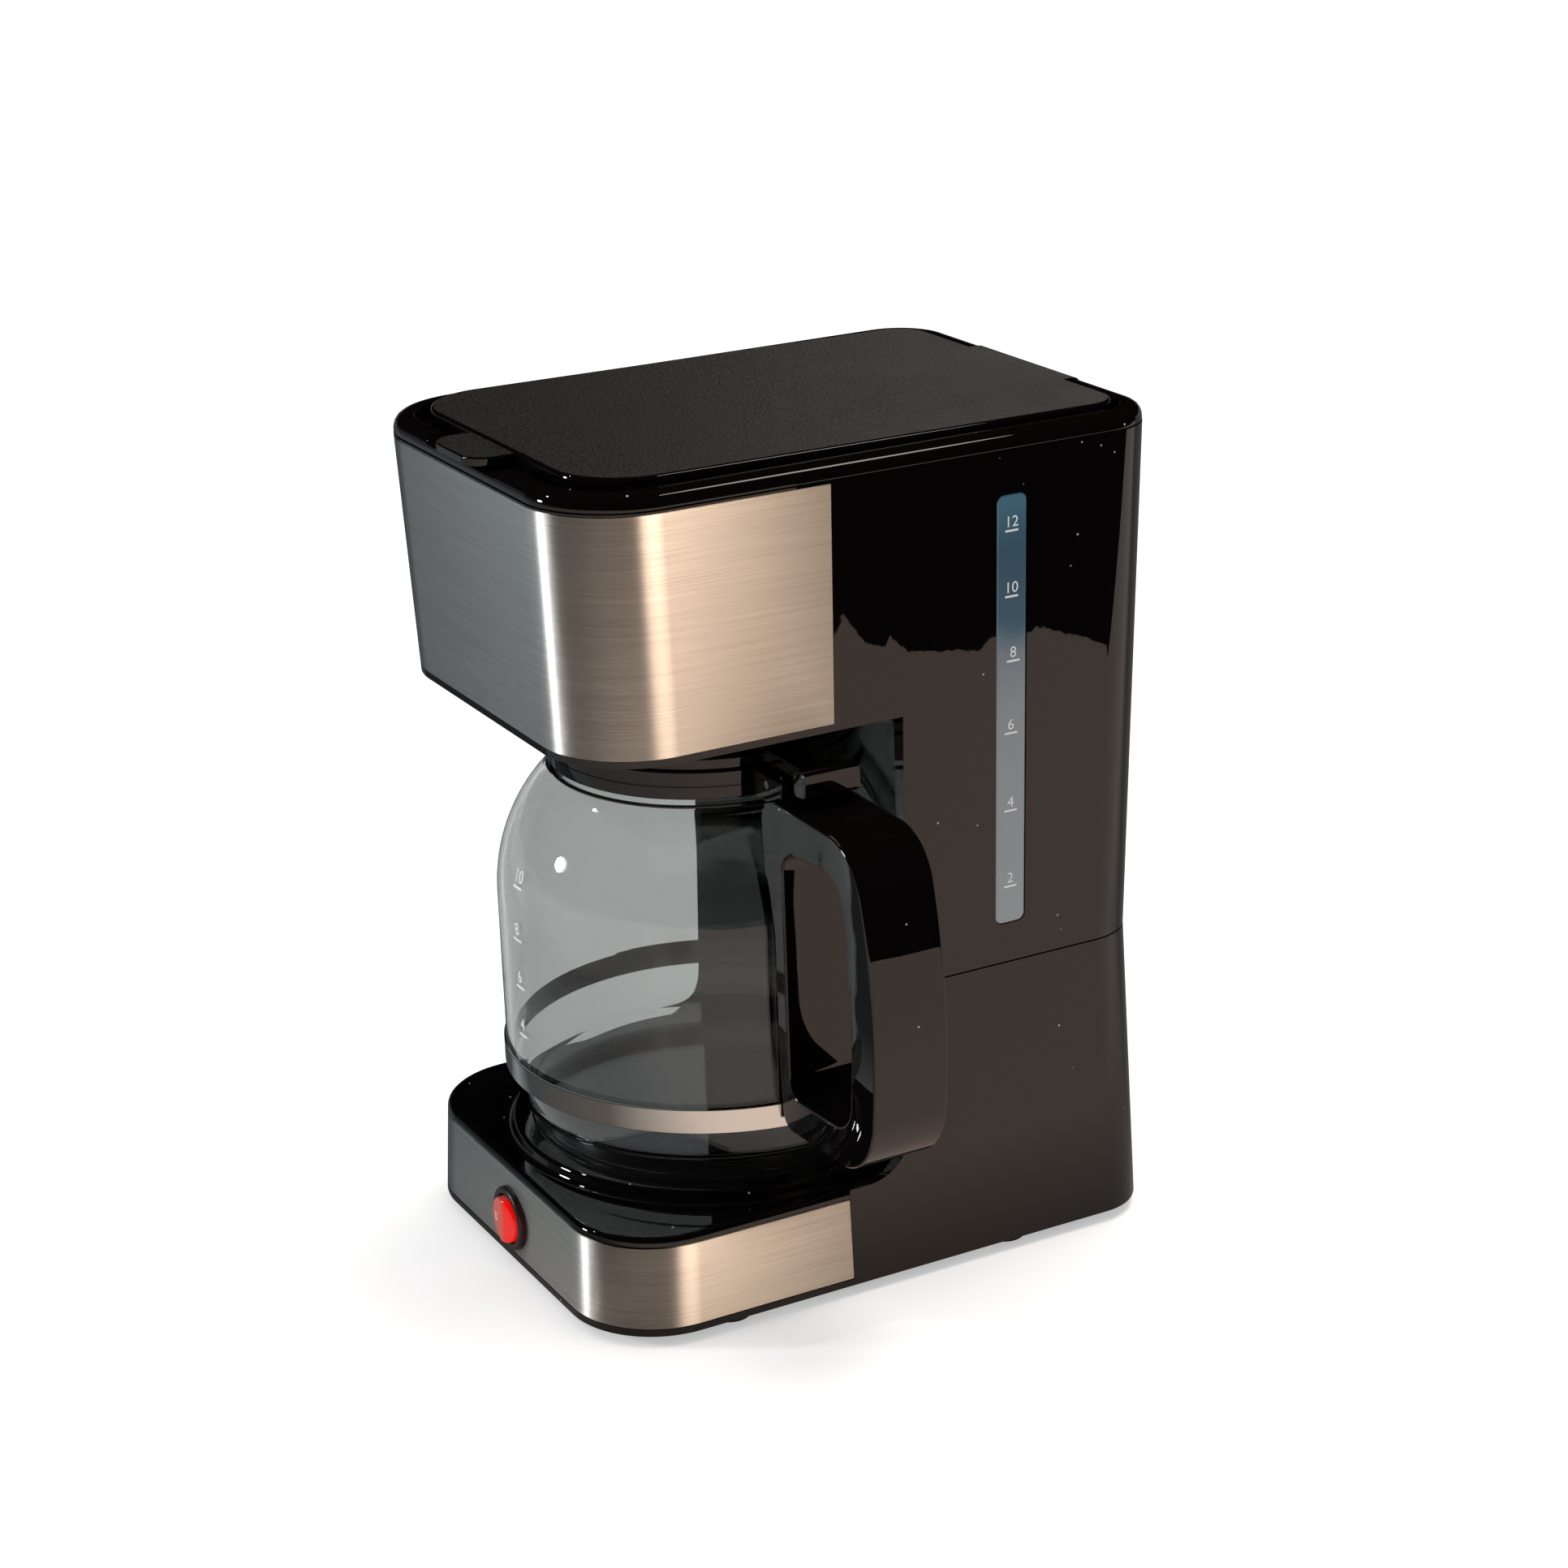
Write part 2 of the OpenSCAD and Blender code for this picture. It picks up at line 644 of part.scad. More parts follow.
module drip_valve() color("#e9e7e2") stand() at_axis() {
    rotate_extrude() polygon([[0, valve_tip_z], [1.8, valve_tip_z], [2.6, valve_tip_z + 1.2],
        [2.6, valve_head_z], [3.4, valve_head_z], [5.6, valve_head_z + 1.6],
        [5.6, valve_head_z + 2.6], [0, valve_head_z + 2.6]]);
}

module valve_seal() color(silicone) stand() at_axis(valve_head_z - 0.75)
    rotate_extrude() translate([3.4, 0]) circle(r = 0.7, $fn = 24);

spring_r = 4.6;
wire_r = 0.5;
spring_z = valve_head_z + 3.3;
spring_top_z = cage_z + 5.2;
spring_turns = 4;
turn_steps = 16;

module valve_spring() color(alloy) stand() at_axis() {
    n = spring_turns * turn_steps;
    sides = 6;
    rings = [for (i = [0:n]) for (k = [0:sides - 1])
        let (a = 360 * i / turn_steps, b = -360 * k / sides, r = spring_r + wire_r * cos(b))
        [r * cos(a), r * sin(a), spring_z + (spring_top_z - spring_z) * i / n + wire_r * sin(b)]];
    polyhedron(points = rings, faces = concat(
        [[for (k = [0:sides - 1]) k]], [[for (k = [sides - 1:-1:0]) n * sides + k]],
        [for (i = [0:n - 1]) for (k = [0:sides - 1]) [i * sides + k, (i + 1) * sides + k,
            (i + 1) * sides + (k + 1) % sides, i * sides + (k + 1) % sides]]));
}

/* Carafe */

glass_foot_z = plate_z + 0.3;
foot_corner = 7;
band_z = 69;
belly_z = 80;
shoulder_z = 135;
shoulder_r = 65;
neck_z = 182.4;
neck_r = 55;
glass_rim_z = 193;

// The glass's outer line from its middle up to its rim, or the same line set in by t
function glass_line(t) = concat(
    [[0, glass_foot_z + t]],
    arc(74.8 - foot_corner, glass_foot_z + foot_corner, foot_corner - t, -90, -8, 6),
    [[glass_r - 1 - t, band_z - 1], [glass_r - t, belly_z]],
    arc(glass_r - shoulder_r, shoulder_z, shoulder_r - t, 0, 46.5, 14),
    [[neck_r - t, neck_z - t / 2], [neck_r - t, glass_rim_z]]);

// The blown jug is three solids, so that each one's collision follows its own stretch of wall
glass_wall_z = 57;
glass_shoulder_z = 150;

module glass_stretch(z0, z1) color(clear) stand() at_axis() rotate_extrude($fn = 128) intersection() {
    inner = glass_line(glass_t);
    polygon(concat(glass_line(0), [for (i = [len(inner) - 1:-1:0]) inner[i]]));
    translate([0, z0]) square([100, z1 - z0]);
}

module carafe_base() glass_stretch(glass_foot_z, glass_wall_z);

module carafe_glass() glass_stretch(glass_wall_z, glass_shoulder_z);

module carafe_shoulder() glass_stretch(glass_shoulder_z, glass_rim_z);

module neck_ring() color(gloss) stand() at_axis()
    ring(neck_r + 0.1, neck_r + 1.5, neck_z + 0.05, neck_z + 0.95);

collar_r = 56.6;
collar_z = neck_z + 3.2;
collar_top_z = glass_rim_z + 3;
lid_pin_x = 64;
lid_pin_z = 192;
ear_half = 9;
ear_end = 75;
arm_half = 5.2;
pin_r = 1.5;

module across_y(x, z, r, half) translate([x, 0, z]) along_y(r, -half, half);

module carafe_collar() color(gloss) stand() at_axis() difference() {
    union() {
        ring(neck_r + 0.15, collar_r, collar_z, glass_rim_z + 0.1);
        ring(neck_r - glass_t - 1.6, collar_r, glass_rim_z + 0.1, collar_top_z);
        translate([neck_r + 1, -ear_half, collar_z]) cube([ear_end - neck_r - 1, 2 * ear_half, 10]);
    }
    across_y(lid_pin_x, lid_pin_z, pin_r + 0.06, 20);
    translate([collar_r + 0.6, -arm_half - 0.2, collar_z + 1.2]) cube([40, 2 * arm_half + 0.4, 20]);
}

band_ear_z = band_z + 4.4;
band_screw_x = 86;

module handle_band() color(bright) stand() at_axis() {
    ring(glass_r + 0.15, glass_r + 0.85, band_z, band_z + 9);
    difference() {
        translate([glass_r + 0.5, -6, band_ear_z]) cube([14, 12, 1.2]);
        translate([band_screw_x, 0, band_z]) cylinder(r = 1.6, h = 20);
    }
}

// The grip's outer face is one long bow between a round shoulder and a round foot
bow_r = 212;
bow_z = 121;
bow_high = 14.8;
bow_low = -7.3;
shoulder_round = 21.5;
foot_round = 26;

module inside_bow(a, r)
    translate([handle_reach - bow_r + (bow_r - r) * cos(a), bow_z + (bow_r - r) * sin(a)])
    circle(r = r, $fn = 64);

module carafe_handle() color(gloss) stand() at_axis() difference() {
    translate([0, handle_w / 2, 0]) rotate([90, 0, 0]) linear_extrude(handle_w) difference() {
        hull() {
            translate([79, 182]) circle(r = 9.5, $fn = 32);
            inside_bow(bow_high, shoulder_round);
            polygon(arc(handle_reach - bow_r, bow_z, bow_r, bow_low, bow_high, 12));
            inside_bow(bow_low, foot_round);
            translate([84, 76]) circle(r = 6, $fn = 32);
        }
        hull() {
            translate([92, 167]) circle(r = 8.5, $fn = 32);
            translate([113, 165.8]) circle(r = 11.5, $fn = 32);
            translate([117, 135]) circle(r = 12, $fn = 32);
            translate([114, 98]) circle(r = 13, $fn = 32);
            translate([92, 92]) circle(r = 8.5, $fn = 32);
        }
    }
    rotate_extrude($fn = 128) polygon([[0, 50], [glass_r + 1, 50], [glass_r + 1, shoulder_z + 6],
        [glass_r - 2, shoulder_z + 22], [69.5, shoulder_z + 38], [69.5, 240], [0, 240]]);
    translate([60, -ear_half - 0.1, collar_z - 0.1]) cube([ear_end + 0.1 - 60, 2 * ear_half + 0.2, 20]);
    translate([70, -6.1, band_ear_z - 0.1]) cube([22.6, 12.2, 1.4]);
    translate([band_screw_x, 0, 60]) cylinder(r = 3, h = band_ear_z - 61.2);
    translate([band_screw_x, 0, 60]) cylinder(r = 1.5, h = 21);
}

module band_screw() color(alloy) stand() at_axis() translate([band_screw_x, 0, 0]) {
    translate([0, 0, band_ear_z - 3]) cylinder(r = 2.8, h = 1.8);
    translate([0, 0, band_ear_z - 1.3]) cylinder(r = 1.4, h = 8);
}

carafe_lid_z = collar_top_z + 0.3;
dome_r = 55.8;
dome_top_z = valve_tip_z - 0.3;
dome_edge_z = carafe_lid_z + 4;
dome_curve_r = (dome_r * dome_r + pow(dome_top_z - dome_edge_z, 2)) / 2 / (dome_top_z - dome_edge_z);
dome_angle = asin(dome_r / dome_curve_r);
plug_r = neck_r - glass_t - 2;

skirt_in_r = plug_r - 1.2;
thumb_x = 95;
thumb_half = 10.9;

// The lid's skirt is its own solid, so that its collision follows the ring inside the jug's neck
module carafe_lid_skirt() color(gloss) stand() at_axis()
    ring(skirt_in_r, plug_r, glass_rim_z - 1, carafe_lid_z);

module carafe_lid() color(gloss) stand() at_axis() difference() {
    union() {
        rotate_extrude($fn = 128) polygon(concat([[0, carafe_lid_z], [dome_r, carafe_lid_z]],
            arc(0, dome_top_z - dome_curve_r, dome_curve_r, 90 - dome_angle, 90, 10)));
        translate([0, arm_half, 0]) rotate([90, 0, 0]) linear_extrude(2 * arm_half)
            polygon([[46, carafe_lid_z + 0.4], [59.8, carafe_lid_z + 0.4], [59.8, lid_pin_z],
            [68.2, lid_pin_z], [68.2, 196.6], [thumb_x - 6, 197.4], [thumb_x - 6, 202.6], [46, 202]]);
        across_y(lid_pin_x, lid_pin_z, 4.2, arm_half);
        translate([0, thumb_half, 0]) rotate([90, 0, 0]) linear_extrude(2 * thumb_half)
            polygon([[thumb_x - 7.5, 196.2], [thumb_x - 5.5, 195.4], [thumb_x - 0.6, 196], [thumb_x, 196.8],
            [thumb_x, 204.8], [thumb_x - 0.8, 205.7], [thumb_x - 6, 205.2], [thumb_x - 7.5, 203.8]]);
    }
    across_y(lid_pin_x, lid_pin_z, pin_r + 0.06, 20);
    for (a = [0:60:359]) rotate([0, 0, a]) translate([15, 0, 180]) cylinder(r = 2, h = 40);
}

module carafe_lid_pin() color(alloy) stand() at_axis()
    across_y(lid_pin_x, lid_pin_z, pin_r, ear_half - 0.1);

base_skirt();
lower_housing();
base_deck();
base_band();
bottom_cover();
bottom_screws();
feet();
hot_plate();
plate_gasket();
heating_element();
element_bracket();
bracket_nut();
thermostat();
thermal_fuses();
inlet_hose();
outlet_hose();
check_valve();
check_ball();
cord_gland();
switch_housing();
switch_rocker();
upper_housing();
head_band();
top_rim();
basket_holder();
water_tank();
level_window();
riser_pipe();
lid_cover();
lid_liner();
lid_hinge_rod();
filter_basket();
basket_spout();
mesh_filter();
valve_cage();
drip_valve();
valve_seal();
valve_spring();
carafe_base();
carafe_glass();
carafe_shoulder();
neck_ring();
carafe_collar();
handle_band();
carafe_handle();
band_screw();
carafe_lid();
carafe_lid_skirt();
carafe_lid_pin();
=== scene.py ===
import bpy
import bmesh
from functools import partial
from math import asin, cos, degrees, hypot, pi, radians, sin, tan
from mathutils import Matrix, Vector
from mathutils.geometry import delaunay_2d_cdt


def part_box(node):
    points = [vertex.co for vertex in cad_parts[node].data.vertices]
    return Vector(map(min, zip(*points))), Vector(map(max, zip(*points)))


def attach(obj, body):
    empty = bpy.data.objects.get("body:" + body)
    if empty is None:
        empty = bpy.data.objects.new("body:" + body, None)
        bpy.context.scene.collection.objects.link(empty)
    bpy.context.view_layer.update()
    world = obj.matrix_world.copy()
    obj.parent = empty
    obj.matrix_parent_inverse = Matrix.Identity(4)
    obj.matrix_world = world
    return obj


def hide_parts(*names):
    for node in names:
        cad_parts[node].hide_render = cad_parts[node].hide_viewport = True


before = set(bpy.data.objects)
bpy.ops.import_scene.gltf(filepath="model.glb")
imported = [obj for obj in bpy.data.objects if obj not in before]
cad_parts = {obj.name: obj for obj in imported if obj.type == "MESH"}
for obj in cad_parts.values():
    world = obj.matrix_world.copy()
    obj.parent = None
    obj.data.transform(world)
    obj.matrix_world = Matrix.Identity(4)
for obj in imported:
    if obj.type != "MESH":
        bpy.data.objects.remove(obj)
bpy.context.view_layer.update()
print("frame loaded:", len(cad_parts), "nodes")

# Lengths below are millimetres from the machine's middle plane and the rear ends of its steel wraps
feetLow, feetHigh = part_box("feet")
middleX = (feetLow.x + feetHigh.x) / 2
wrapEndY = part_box("head_band")[1].y
toFrame = Matrix.Translation((middleX, wrapEndY, 0)) @ Matrix.Scale(0.001, 4)
carafeCentre = (0, -8)
carafeY = carafeCentre[1]

# Angles in degrees, the lens and its sensor in mm
cameraSet = dict(place=(1049.143, -535.076, 596.04), azimuth=61.943, elevation=19.946, roll=-1.918, lens=79.22,
    sensor=36)


def addObject(name, data):
    thing = bpy.data.objects.new(name, data)
    bpy.context.scene.collection.objects.link(thing)
    return thing


def placeCamera(settings):
    turn, rise, roll = (radians(settings[key]) for key in ("azimuth", "elevation", "roll"))
    back = Vector((sin(turn) * cos(rise), -cos(turn) * cos(rise), sin(rise)))
    right = (-back).cross(Vector((0, 0, 1))).normalized()
    up = right.cross(-back)
    columns = (right * cos(roll) + up * sin(roll), up * cos(roll) - right * sin(roll), back)
    camera = addObject("camera", bpy.data.cameras.new("camera"))
    turned = Matrix(columns).transposed().to_4x4()
    camera.matrix_world = Matrix.Translation(toFrame @ Vector(settings["place"])) @ turned
    camera.data.lens = settings["lens"]
    camera.data.sensor_width = settings["sensor"]
    bpy.context.scene.camera = camera


placeCamera(cameraSet)
print("camera placed")


# An sRGB hex colour as linear light, with its alpha
def linearColour(hexText, factor=1.0):
    parts = [int(hexText[i:i + 2], 16) / 255 for i in (1, 3, 5)]
    linear = [p / 12.92 if p <= 0.04045 else ((p + 0.055) / 1.055) ** 2.4 for p in parts]
    return [min(1.0, p * factor) for p in linear] + [1.0]


# Settings that make a mix node run between two colours
def between(low, high, lowFactor=1.0, highFactor=1.0):
    return dict(data_type="RGBA", in6=linearColour(low, lowFactor), in7=linearColour(high, highFactor))


# The socket given, or a node's first output
def output(source):
    return source.outputs[0] if isinstance(source, bpy.types.Node) else source


# Adds a node of any kind by its short name and sets its properties and inputs (in3 is input number 3);
# links are what feeds its first inputs, or its inputs by key, and stops fill a colour ramp
def addNode(tree, kind, links=(), stops=(), **settings):
    first = next(word for word in ("ShaderNode", "GeometryNode", "") if hasattr(bpy.types, word + kind))
    node = tree.nodes.new(first + kind)
    for key, value in settings.items():
        if key in node.bl_rna.properties:
            setattr(node, key, value)
    for key, value in settings.items():
        if key not in node.bl_rna.properties:
            socket = node.inputs[int(key[2:]) if key.startswith("in") else key.replace("_", " ")]
            socket.default_value = value
    if not isinstance(links, dict):
        links = dict(enumerate(links if isinstance(links, tuple) else (links,)))
    for key, source in links.items():
        tree.links.new(output(source), node.inputs[key])
    for number, (place, colour) in enumerate(stops):
        elements = node.color_ramp.elements
        element = elements[number] if number < len(elements) else elements.new(place)
        element.position = place
        element.color = colour if not isinstance(colour, (int, float)) else (colour, colour, colour, 1)
    return node


def feed(node, **sources):
    for key, source in sources.items():
        node.id_data.links.new(output(source), node.inputs[key.replace("_", " ")])


def startMaterial(name, colour, roughness, **values):
    material = bpy.data.materials.new(name)
    material.use_nodes = True
    tree = material.node_tree
    shader = tree.nodes["Principled BSDF"]
    shader.inputs["Base Color"].default_value = linearColour(colour)
    shader.inputs["Roughness"].default_value = roughness
    for key, value in values.items():
        shader.inputs[key.replace("_", " ")].default_value = value
    add = partial(addNode, tree)
    return material, add, shader, add("TexCoord").outputs["Object"]


# Ends a material: relief from one texture, a tone between two colours by another, and what else feeds it
def finishSurface(material, shader, height, strength, distance, tone=None, **sources):
    tree = material.node_tree
    bump = addNode(tree, "Bump", {"Height": height}, Strength=strength, Distance=distance)
    if tone:
        sources["Base_Color"] = addNode(tree, "Mix", {"Factor": tone[0]}, **between(*tone[1:])).outputs[2]
    feed(shader, Normal=bump, **sources)
    return material


def makeGlossAbs():
    # Black ABS from a polished mould: a deep mirror gloss with slow sink ripples and a little dust
    material, add, shader, place = startMaterial("polishedBlackAbs", "#080606", 0.045, IOR=1.53)
    ripple = add("TexNoise", place, Scale=38, Detail=1)  # sink waves 26 mm long
    peel = add("TexNoise", place, Scale=420, Detail=1)  # mould texture 2.4 mm
    shallow = add("Math", {0: peel, 2: ripple}, operation="MULTIPLY_ADD", in1=0.03)
    # Dust in patches: specks 0.8 mm across and 8 mm apart, coarser than real dust so that they show
    cell = add("TexVoronoi", place, Scale=125, feature="F1")
    speck = add("Math", cell, operation="LESS_THAN", in1=0.05)
    patch = add("TexNoise", place, Scale=16, Detail=2)
    some = add("Math", patch, operation="GREATER_THAN", in1=0.56)
    dust = add("Math", (speck, some), operation="MULTIPLY")
    wipe = add("TexNoise", place, Scale=22, Detail=3)
    haze = add("MapRange", wipe, in3=0.004, in4=0.02)
    rough = add("Math", {0: dust, 2: haze}, operation="MULTIPLY_ADD", in1=0.5)
    return finishSurface(material, shader, shallow, 0.05, 0.0012,
        tone=(dust, "#080606", "#b5b5b0"), Roughness=rough)


def makeGrained(name, colour, roughness, grain, depth, spread=0.08, **values):
    # Moulded plastic or rubber with a spark-eroded grain; grain is the spacing of its pits in mm
    material, add, shader, place = startMaterial(name, colour, roughness, **values)
    pits = add("TexNoise", place, Scale=1000 / grain, Detail=2)
    worn = add("TexNoise", place, Scale=30, Detail=3)
    shine = add("MapRange", worn, in3=roughness - spread, in4=roughness + spread)
    return finishSurface(material, shader, pits, depth, 0.0002,
        tone=(pits, colour, colour, 0.78, 1.22), Roughness=shine)


def makeLidAbs():
    # Black ABS with a fine satin grain on the faces that look up and mirror-bright edges
    material, add, shader, place = startMaterial("satinTopAbs", "#181817", 0.36, IOR=1.53)
    top = add("Attribute", attribute_name="grained").outputs["Fac"]
    pits = add("TexNoise", place, Scale=1100, Detail=2)  # pits 0.9 mm apart
    deep = add("Math", (pits, top), operation="MULTIPLY")
    worn = add("TexNoise", place, Scale=30, Detail=3)
    shine = add("MapRange", worn, in3=0.34, in4=0.46)
    rough = add("Math", (shine, top), operation="MULTIPLY")
    fleck = add("MapRange", pits, in1=0.3, in2=0.7)
    tone = add("Mix", fleck, **between("#0e0e0d", "#30302d"))
    ends = add("Mix", {"Factor": top, 7: tone.outputs[2]}, data_type="RGBA",
        in6=linearColour("#080606"))
    return finishSurface(material, shader, deep, 0.8, 0.0003, Roughness=rough, Base_Color=ends.outputs[2])


def makeBrushedSteel(name, colour, roughness, anisotropic):
    # Brushed stainless strip: belt grain runs level round the wrap, so light spreads up and down
    material, add, shader, place = startMaterial(name, colour, roughness, Metallic=1, Anisotropic=anisotropic)
    along = add("Mapping", place, Scale=(16, 16, 1700))  # lines 0.6 mm apart
    grain = add("TexNoise", along, Scale=1, Detail=3, Roughness=0.6)
    fleck = add("Mapping", place, Scale=(210, 210, 2100))  # scratches 5 mm long
    scratch = add("TexNoise", fleck, Scale=1, Detail=2)
    lines = add("Math", (grain, scratch))
    spread = add("MapRange", scratch, in3=roughness - 0.06, in4=roughness + 0.06)
    facing = add("NewGeometry").outputs["Normal"]
    level = add("VectorMath", facing, operation="CROSS_PRODUCT", in1=(0, 0, 1))
    upright = add("VectorMath", (facing, level), operation="CROSS_PRODUCT")
    return finishSurface(material, shader, lines, 0.16, 0.00012,
        tone=(grain, colour, colour, 0.7, 1.3), Roughness=spread, Tangent=upright)


def makeMetal(name, colour, roughness, size, depth=0.1):
    # Plain metal with a fine mill or plated texture; size is its spacing in mm
    material, add, shader, place = startMaterial(name, colour, roughness, Metallic=1)
    mill = add("TexNoise", place, Scale=1000 / size, Detail=3)
    wear = add("MapRange", mill, in3=roughness * 0.7, in4=roughness * 1.3)
    return finishSurface(material, shader, mill, depth, 0.0001, Roughness=wear)


def makePlateCoating():
    # Non-stick coated steel plate: charcoal, turned in fine rings under the coat
    material, add, shader, place = startMaterial("nonStickCoatedSteel", "#1d1c1c", 0.14, Coat_Weight=0.35,
        Coat_Roughness=0.12)
    centred = add("Mapping", place,
        Location=(-middleX - carafeCentre[0] / 1000, -wrapEndY - carafeCentre[1] / 1000, 0))
    rings = add("TexWave", centred, wave_type="RINGS", rings_direction="Z",
        Scale=160, Distortion=0.4)  # turning marks 2 mm apart
    mottle = add("TexNoise", place, Scale=900, Detail=2)
    return finishSurface(material, shader, rings.outputs["Fac"], 0.06, 0.0002,
        tone=(mottle, "#0b0b0b", "#191818"))


def makeGlass(name, colour):
    # Blown borosilicate: clear, faintly grey, with slow waves in the wall and a film in places
    material, add, shader, place = startMaterial(name, colour, 0.0, IOR=1.47, Transmission_Weight=1)
    wave = add("TexNoise", place, Scale=24, Detail=1)  # waves 40 mm long
    smear = add("TexNoise", place, Scale=60, Detail=3)
    film = add("MapRange", smear, in1=0.55, in2=0.8, in4=0.03)
    return finishSurface(material, shader, wave, 0.05, 0.002, Roughness=film)


def makeWindow():
    # Moulded clear styrene over the tank, drawn opaque: smoky blue above the water line, greyer and paler below;
    # the paler tones are painted light showing through the tank from behind, over the plastic's own tint
    material, add, shader, place = startMaterial("frostedStyrene", "#44617a", 0.22, IOR=1.59, Coat_Weight=0.6,
        Coat_Roughness=0.05)
    height = add("SeparateXYZ", place).outputs["Z"]
    cloud = add("TexNoise", place, Scale=70, Detail=3)
    uneven = add("Math", {0: cloud, 2: height}, operation="MULTIPLY_ADD", in1=0.012)
    level = add("MapRange", uneven, in1=0.127, in2=0.298)
    # Colour by height: the plastic's tint plus painted backlight from the tank, paler lower down
    tintAndBacklight = add("ValToRGB", level, [(share, linearColour(tint)) for share, tint in
        ((0.0, "#939ca2"), (0.2, "#8c959c"), (0.5, "#848d93"), (0.62, "#6f7e8a"), (0.69, "#3a6074"),
        (0.85, "#36596c"), (1.0, "#4d7c92"))])
    return finishSurface(material, shader, cloud, 0.05, 0.0005, Base_Color=tintAndBacklight)


def makeLens():
    # Transparent red polycarbonate rocker with a neon lamp behind its pressed half; the other half's paler salmon
    # base colour is a painted reflection of the white cloth
    material, add, shader, place = startMaterial("redPolycarbonate", "#8f0a06", 0.16, IOR=1.58,
        Coat_Weight=0.2, Coat_Roughness=0.08, Emission_Strength=0.6)
    across = add("SeparateXYZ", place).outputs["X"]
    lit = add("MapRange", across, interpolation_type="SMOOTHSTEP", in1=middleX + 0.0002, in2=middleX + 0.0032)
    glow = add("Mix", lit, **between("#560402", "#ff0401"))
    prisms = add("TexWave", place, Scale=420, bands_direction="Z")
    # Base colour runs from salmon on the unpressed half to deep red on the lit half: the salmon is painted
    # reflection
    return finishSurface(material, shader, prisms.outputs["Fac"], 0.05, 0.0001,
        tone=(lit, "#c9584a", "#8f0a06"), Emission_Color=glow.outputs[2])


def makeMilky():
    # Natural polypropylene: cloudy and waxy
    material, add, shader, place = startMaterial("naturalPolypropylene", "#c3ccd2", 0.34, IOR=1.49,
        Transmission_Weight=0.45, Subsurface_Weight=0.3, Subsurface_Radius=(0.004, 0.004, 0.005))
    flow = add("TexNoise", place, Scale=45, Detail=3)
    return finishSurface(material, shader, flow, 0.1, 0.0005, tone=(flow, "#b4bfc8", "#d2d8dc"))


finish = {
    "glossAbs": makeGlossAbs(),
    "satinAbs": makeGrained("sparkErodedBlackAbs", "#131211", 0.36, 1.1, 0.5),
    "lidAbs": makeLidAbs(),
    "bezelAbs": makeGrained("leatherGrainNylon", "#15171a", 0.36, 0.8, 0.7),
    "rubber": makeGrained("blackEpdmRubber", "#141414", 0.62, 0.6, 0.4),
    "steel": makeBrushedSteel("brushedStainlessStrip", "#c4c0ba", 0.4, 1.0),
    "bright": makeMetal("polishedStainlessBand", "#d9d7d3", 0.07, 1.2, 0.03),
    "zinc": makeMetal("zincPlatedSteel", "#b4b6b4", 0.32, 0.8),
    "alloy": makeMetal("castAluminium", "#a9abab", 0.42, 1.1, 0.3),
    "plate": makePlateCoating(),
    "glass": makeGlass("blownBorosilicate", "#bdc1c1"),
    "window": makeWindow(),
    "lens": makeLens(),
    "milky": makeMilky(),
    "silicone": makeGrained("translucentSilicone", "#cfcabd", 0.45, 0.7, 0.2, Subsurface_Weight=0.3),
    "phenolic": makeGrained("brownPhenolic", "#3a2a20", 0.4, 0.9, 0.3),
    "sleeve": makeGrained("glassFibreSleeve", "#cfcabb", 0.75, 0.5, 0.8),
    "white": makeGrained("whiteAcetal", "#dcdcd8", 0.36, 0.7, 0.15),
    "redRubber": makeGrained("redSiliconeRubber", "#8c2c20", 0.5, 0.6, 0.2),
    "mesh": makeGrained("wovenNylonMesh", "#57534b", 0.55, 0.4, 0.9),
    "paint": makeGrained("padPrintedWhite", "#f2f3f4", 0.45, 0.3, 0.1, spread=0.05),
}
print("materials made:", len(finish))


# Points of an arc in millimetres, as are all the mesh tools below
def arc(cx, cy, r, start, end, steps=8):
    angles = [radians(start + (end - start) * i / steps) for i in range(steps + 1)]
    return [(cx + r * cos(a), cy + r * sin(a)) for a in angles]


def around(steps):
    return [2 * pi * k / steps for k in range(steps)]


# A rectangle with one radius on its corners of low y and another on those of high y
def roundedOutline(x0, x1, y0, y1, low, high, steps=16):
    return (arc(x1 - high, y1 - high, high, 0, 90, steps) + arc(x0 + high, y1 - high, high, 90, 180, steps)
        + arc(x0 + low, y0 + low, low, 180, 270, steps) + arc(x1 - low, y0 + low, low, 270, 360, steps))


def frontCorners(half, front, r, steps):
    return arc(-half + r, front + r, r, 180, 270, steps) + arc(half - r, front + r, r, 270, 360, steps)


# Runs the steps on the thing's mesh, opened for editing
def edit(thing, steps):
    shape = bmesh.new()
    shape.from_mesh(thing.data)
    steps(shape)
    shape.to_mesh(thing.data)
    shape.free()
    return thing


def rawObject(name, points, faces):
    data = bpy.data.meshes.new(name)
    data.from_pydata([tuple(p) for p in points], [], faces)
    return addObject(name, data)


def weld(shape):
    bmesh.ops.remove_doubles(shape, verts=shape.verts, dist=0.0005)
    bmesh.ops.recalc_face_normals(shape, faces=shape.faces)


def meshObject(name, points, faces):
    return edit(rawObject(name, points, faces), weld)


# Loops of equal length joined in order; joined=True closes the last loop on the first
def skin(name, loops, joined=False, capped=True):
    count = len(loops[0])
    points = [p for loop in loops for p in loop]
    faces = []
    for i in range(len(loops) if joined else len(loops) - 1):
        a, b = i * count, (i + 1) % len(loops) * count
        for k in range(count):
            n = (k + 1) % count
            faces.append((a + k, a + n, b + n, b + k))
    if capped and not joined:
        faces.append(tuple(reversed(range(count))))
        faces.append(tuple((len(loops) - 1) * count + k for k in range(count)))
    return meshObject(name, points, faces)


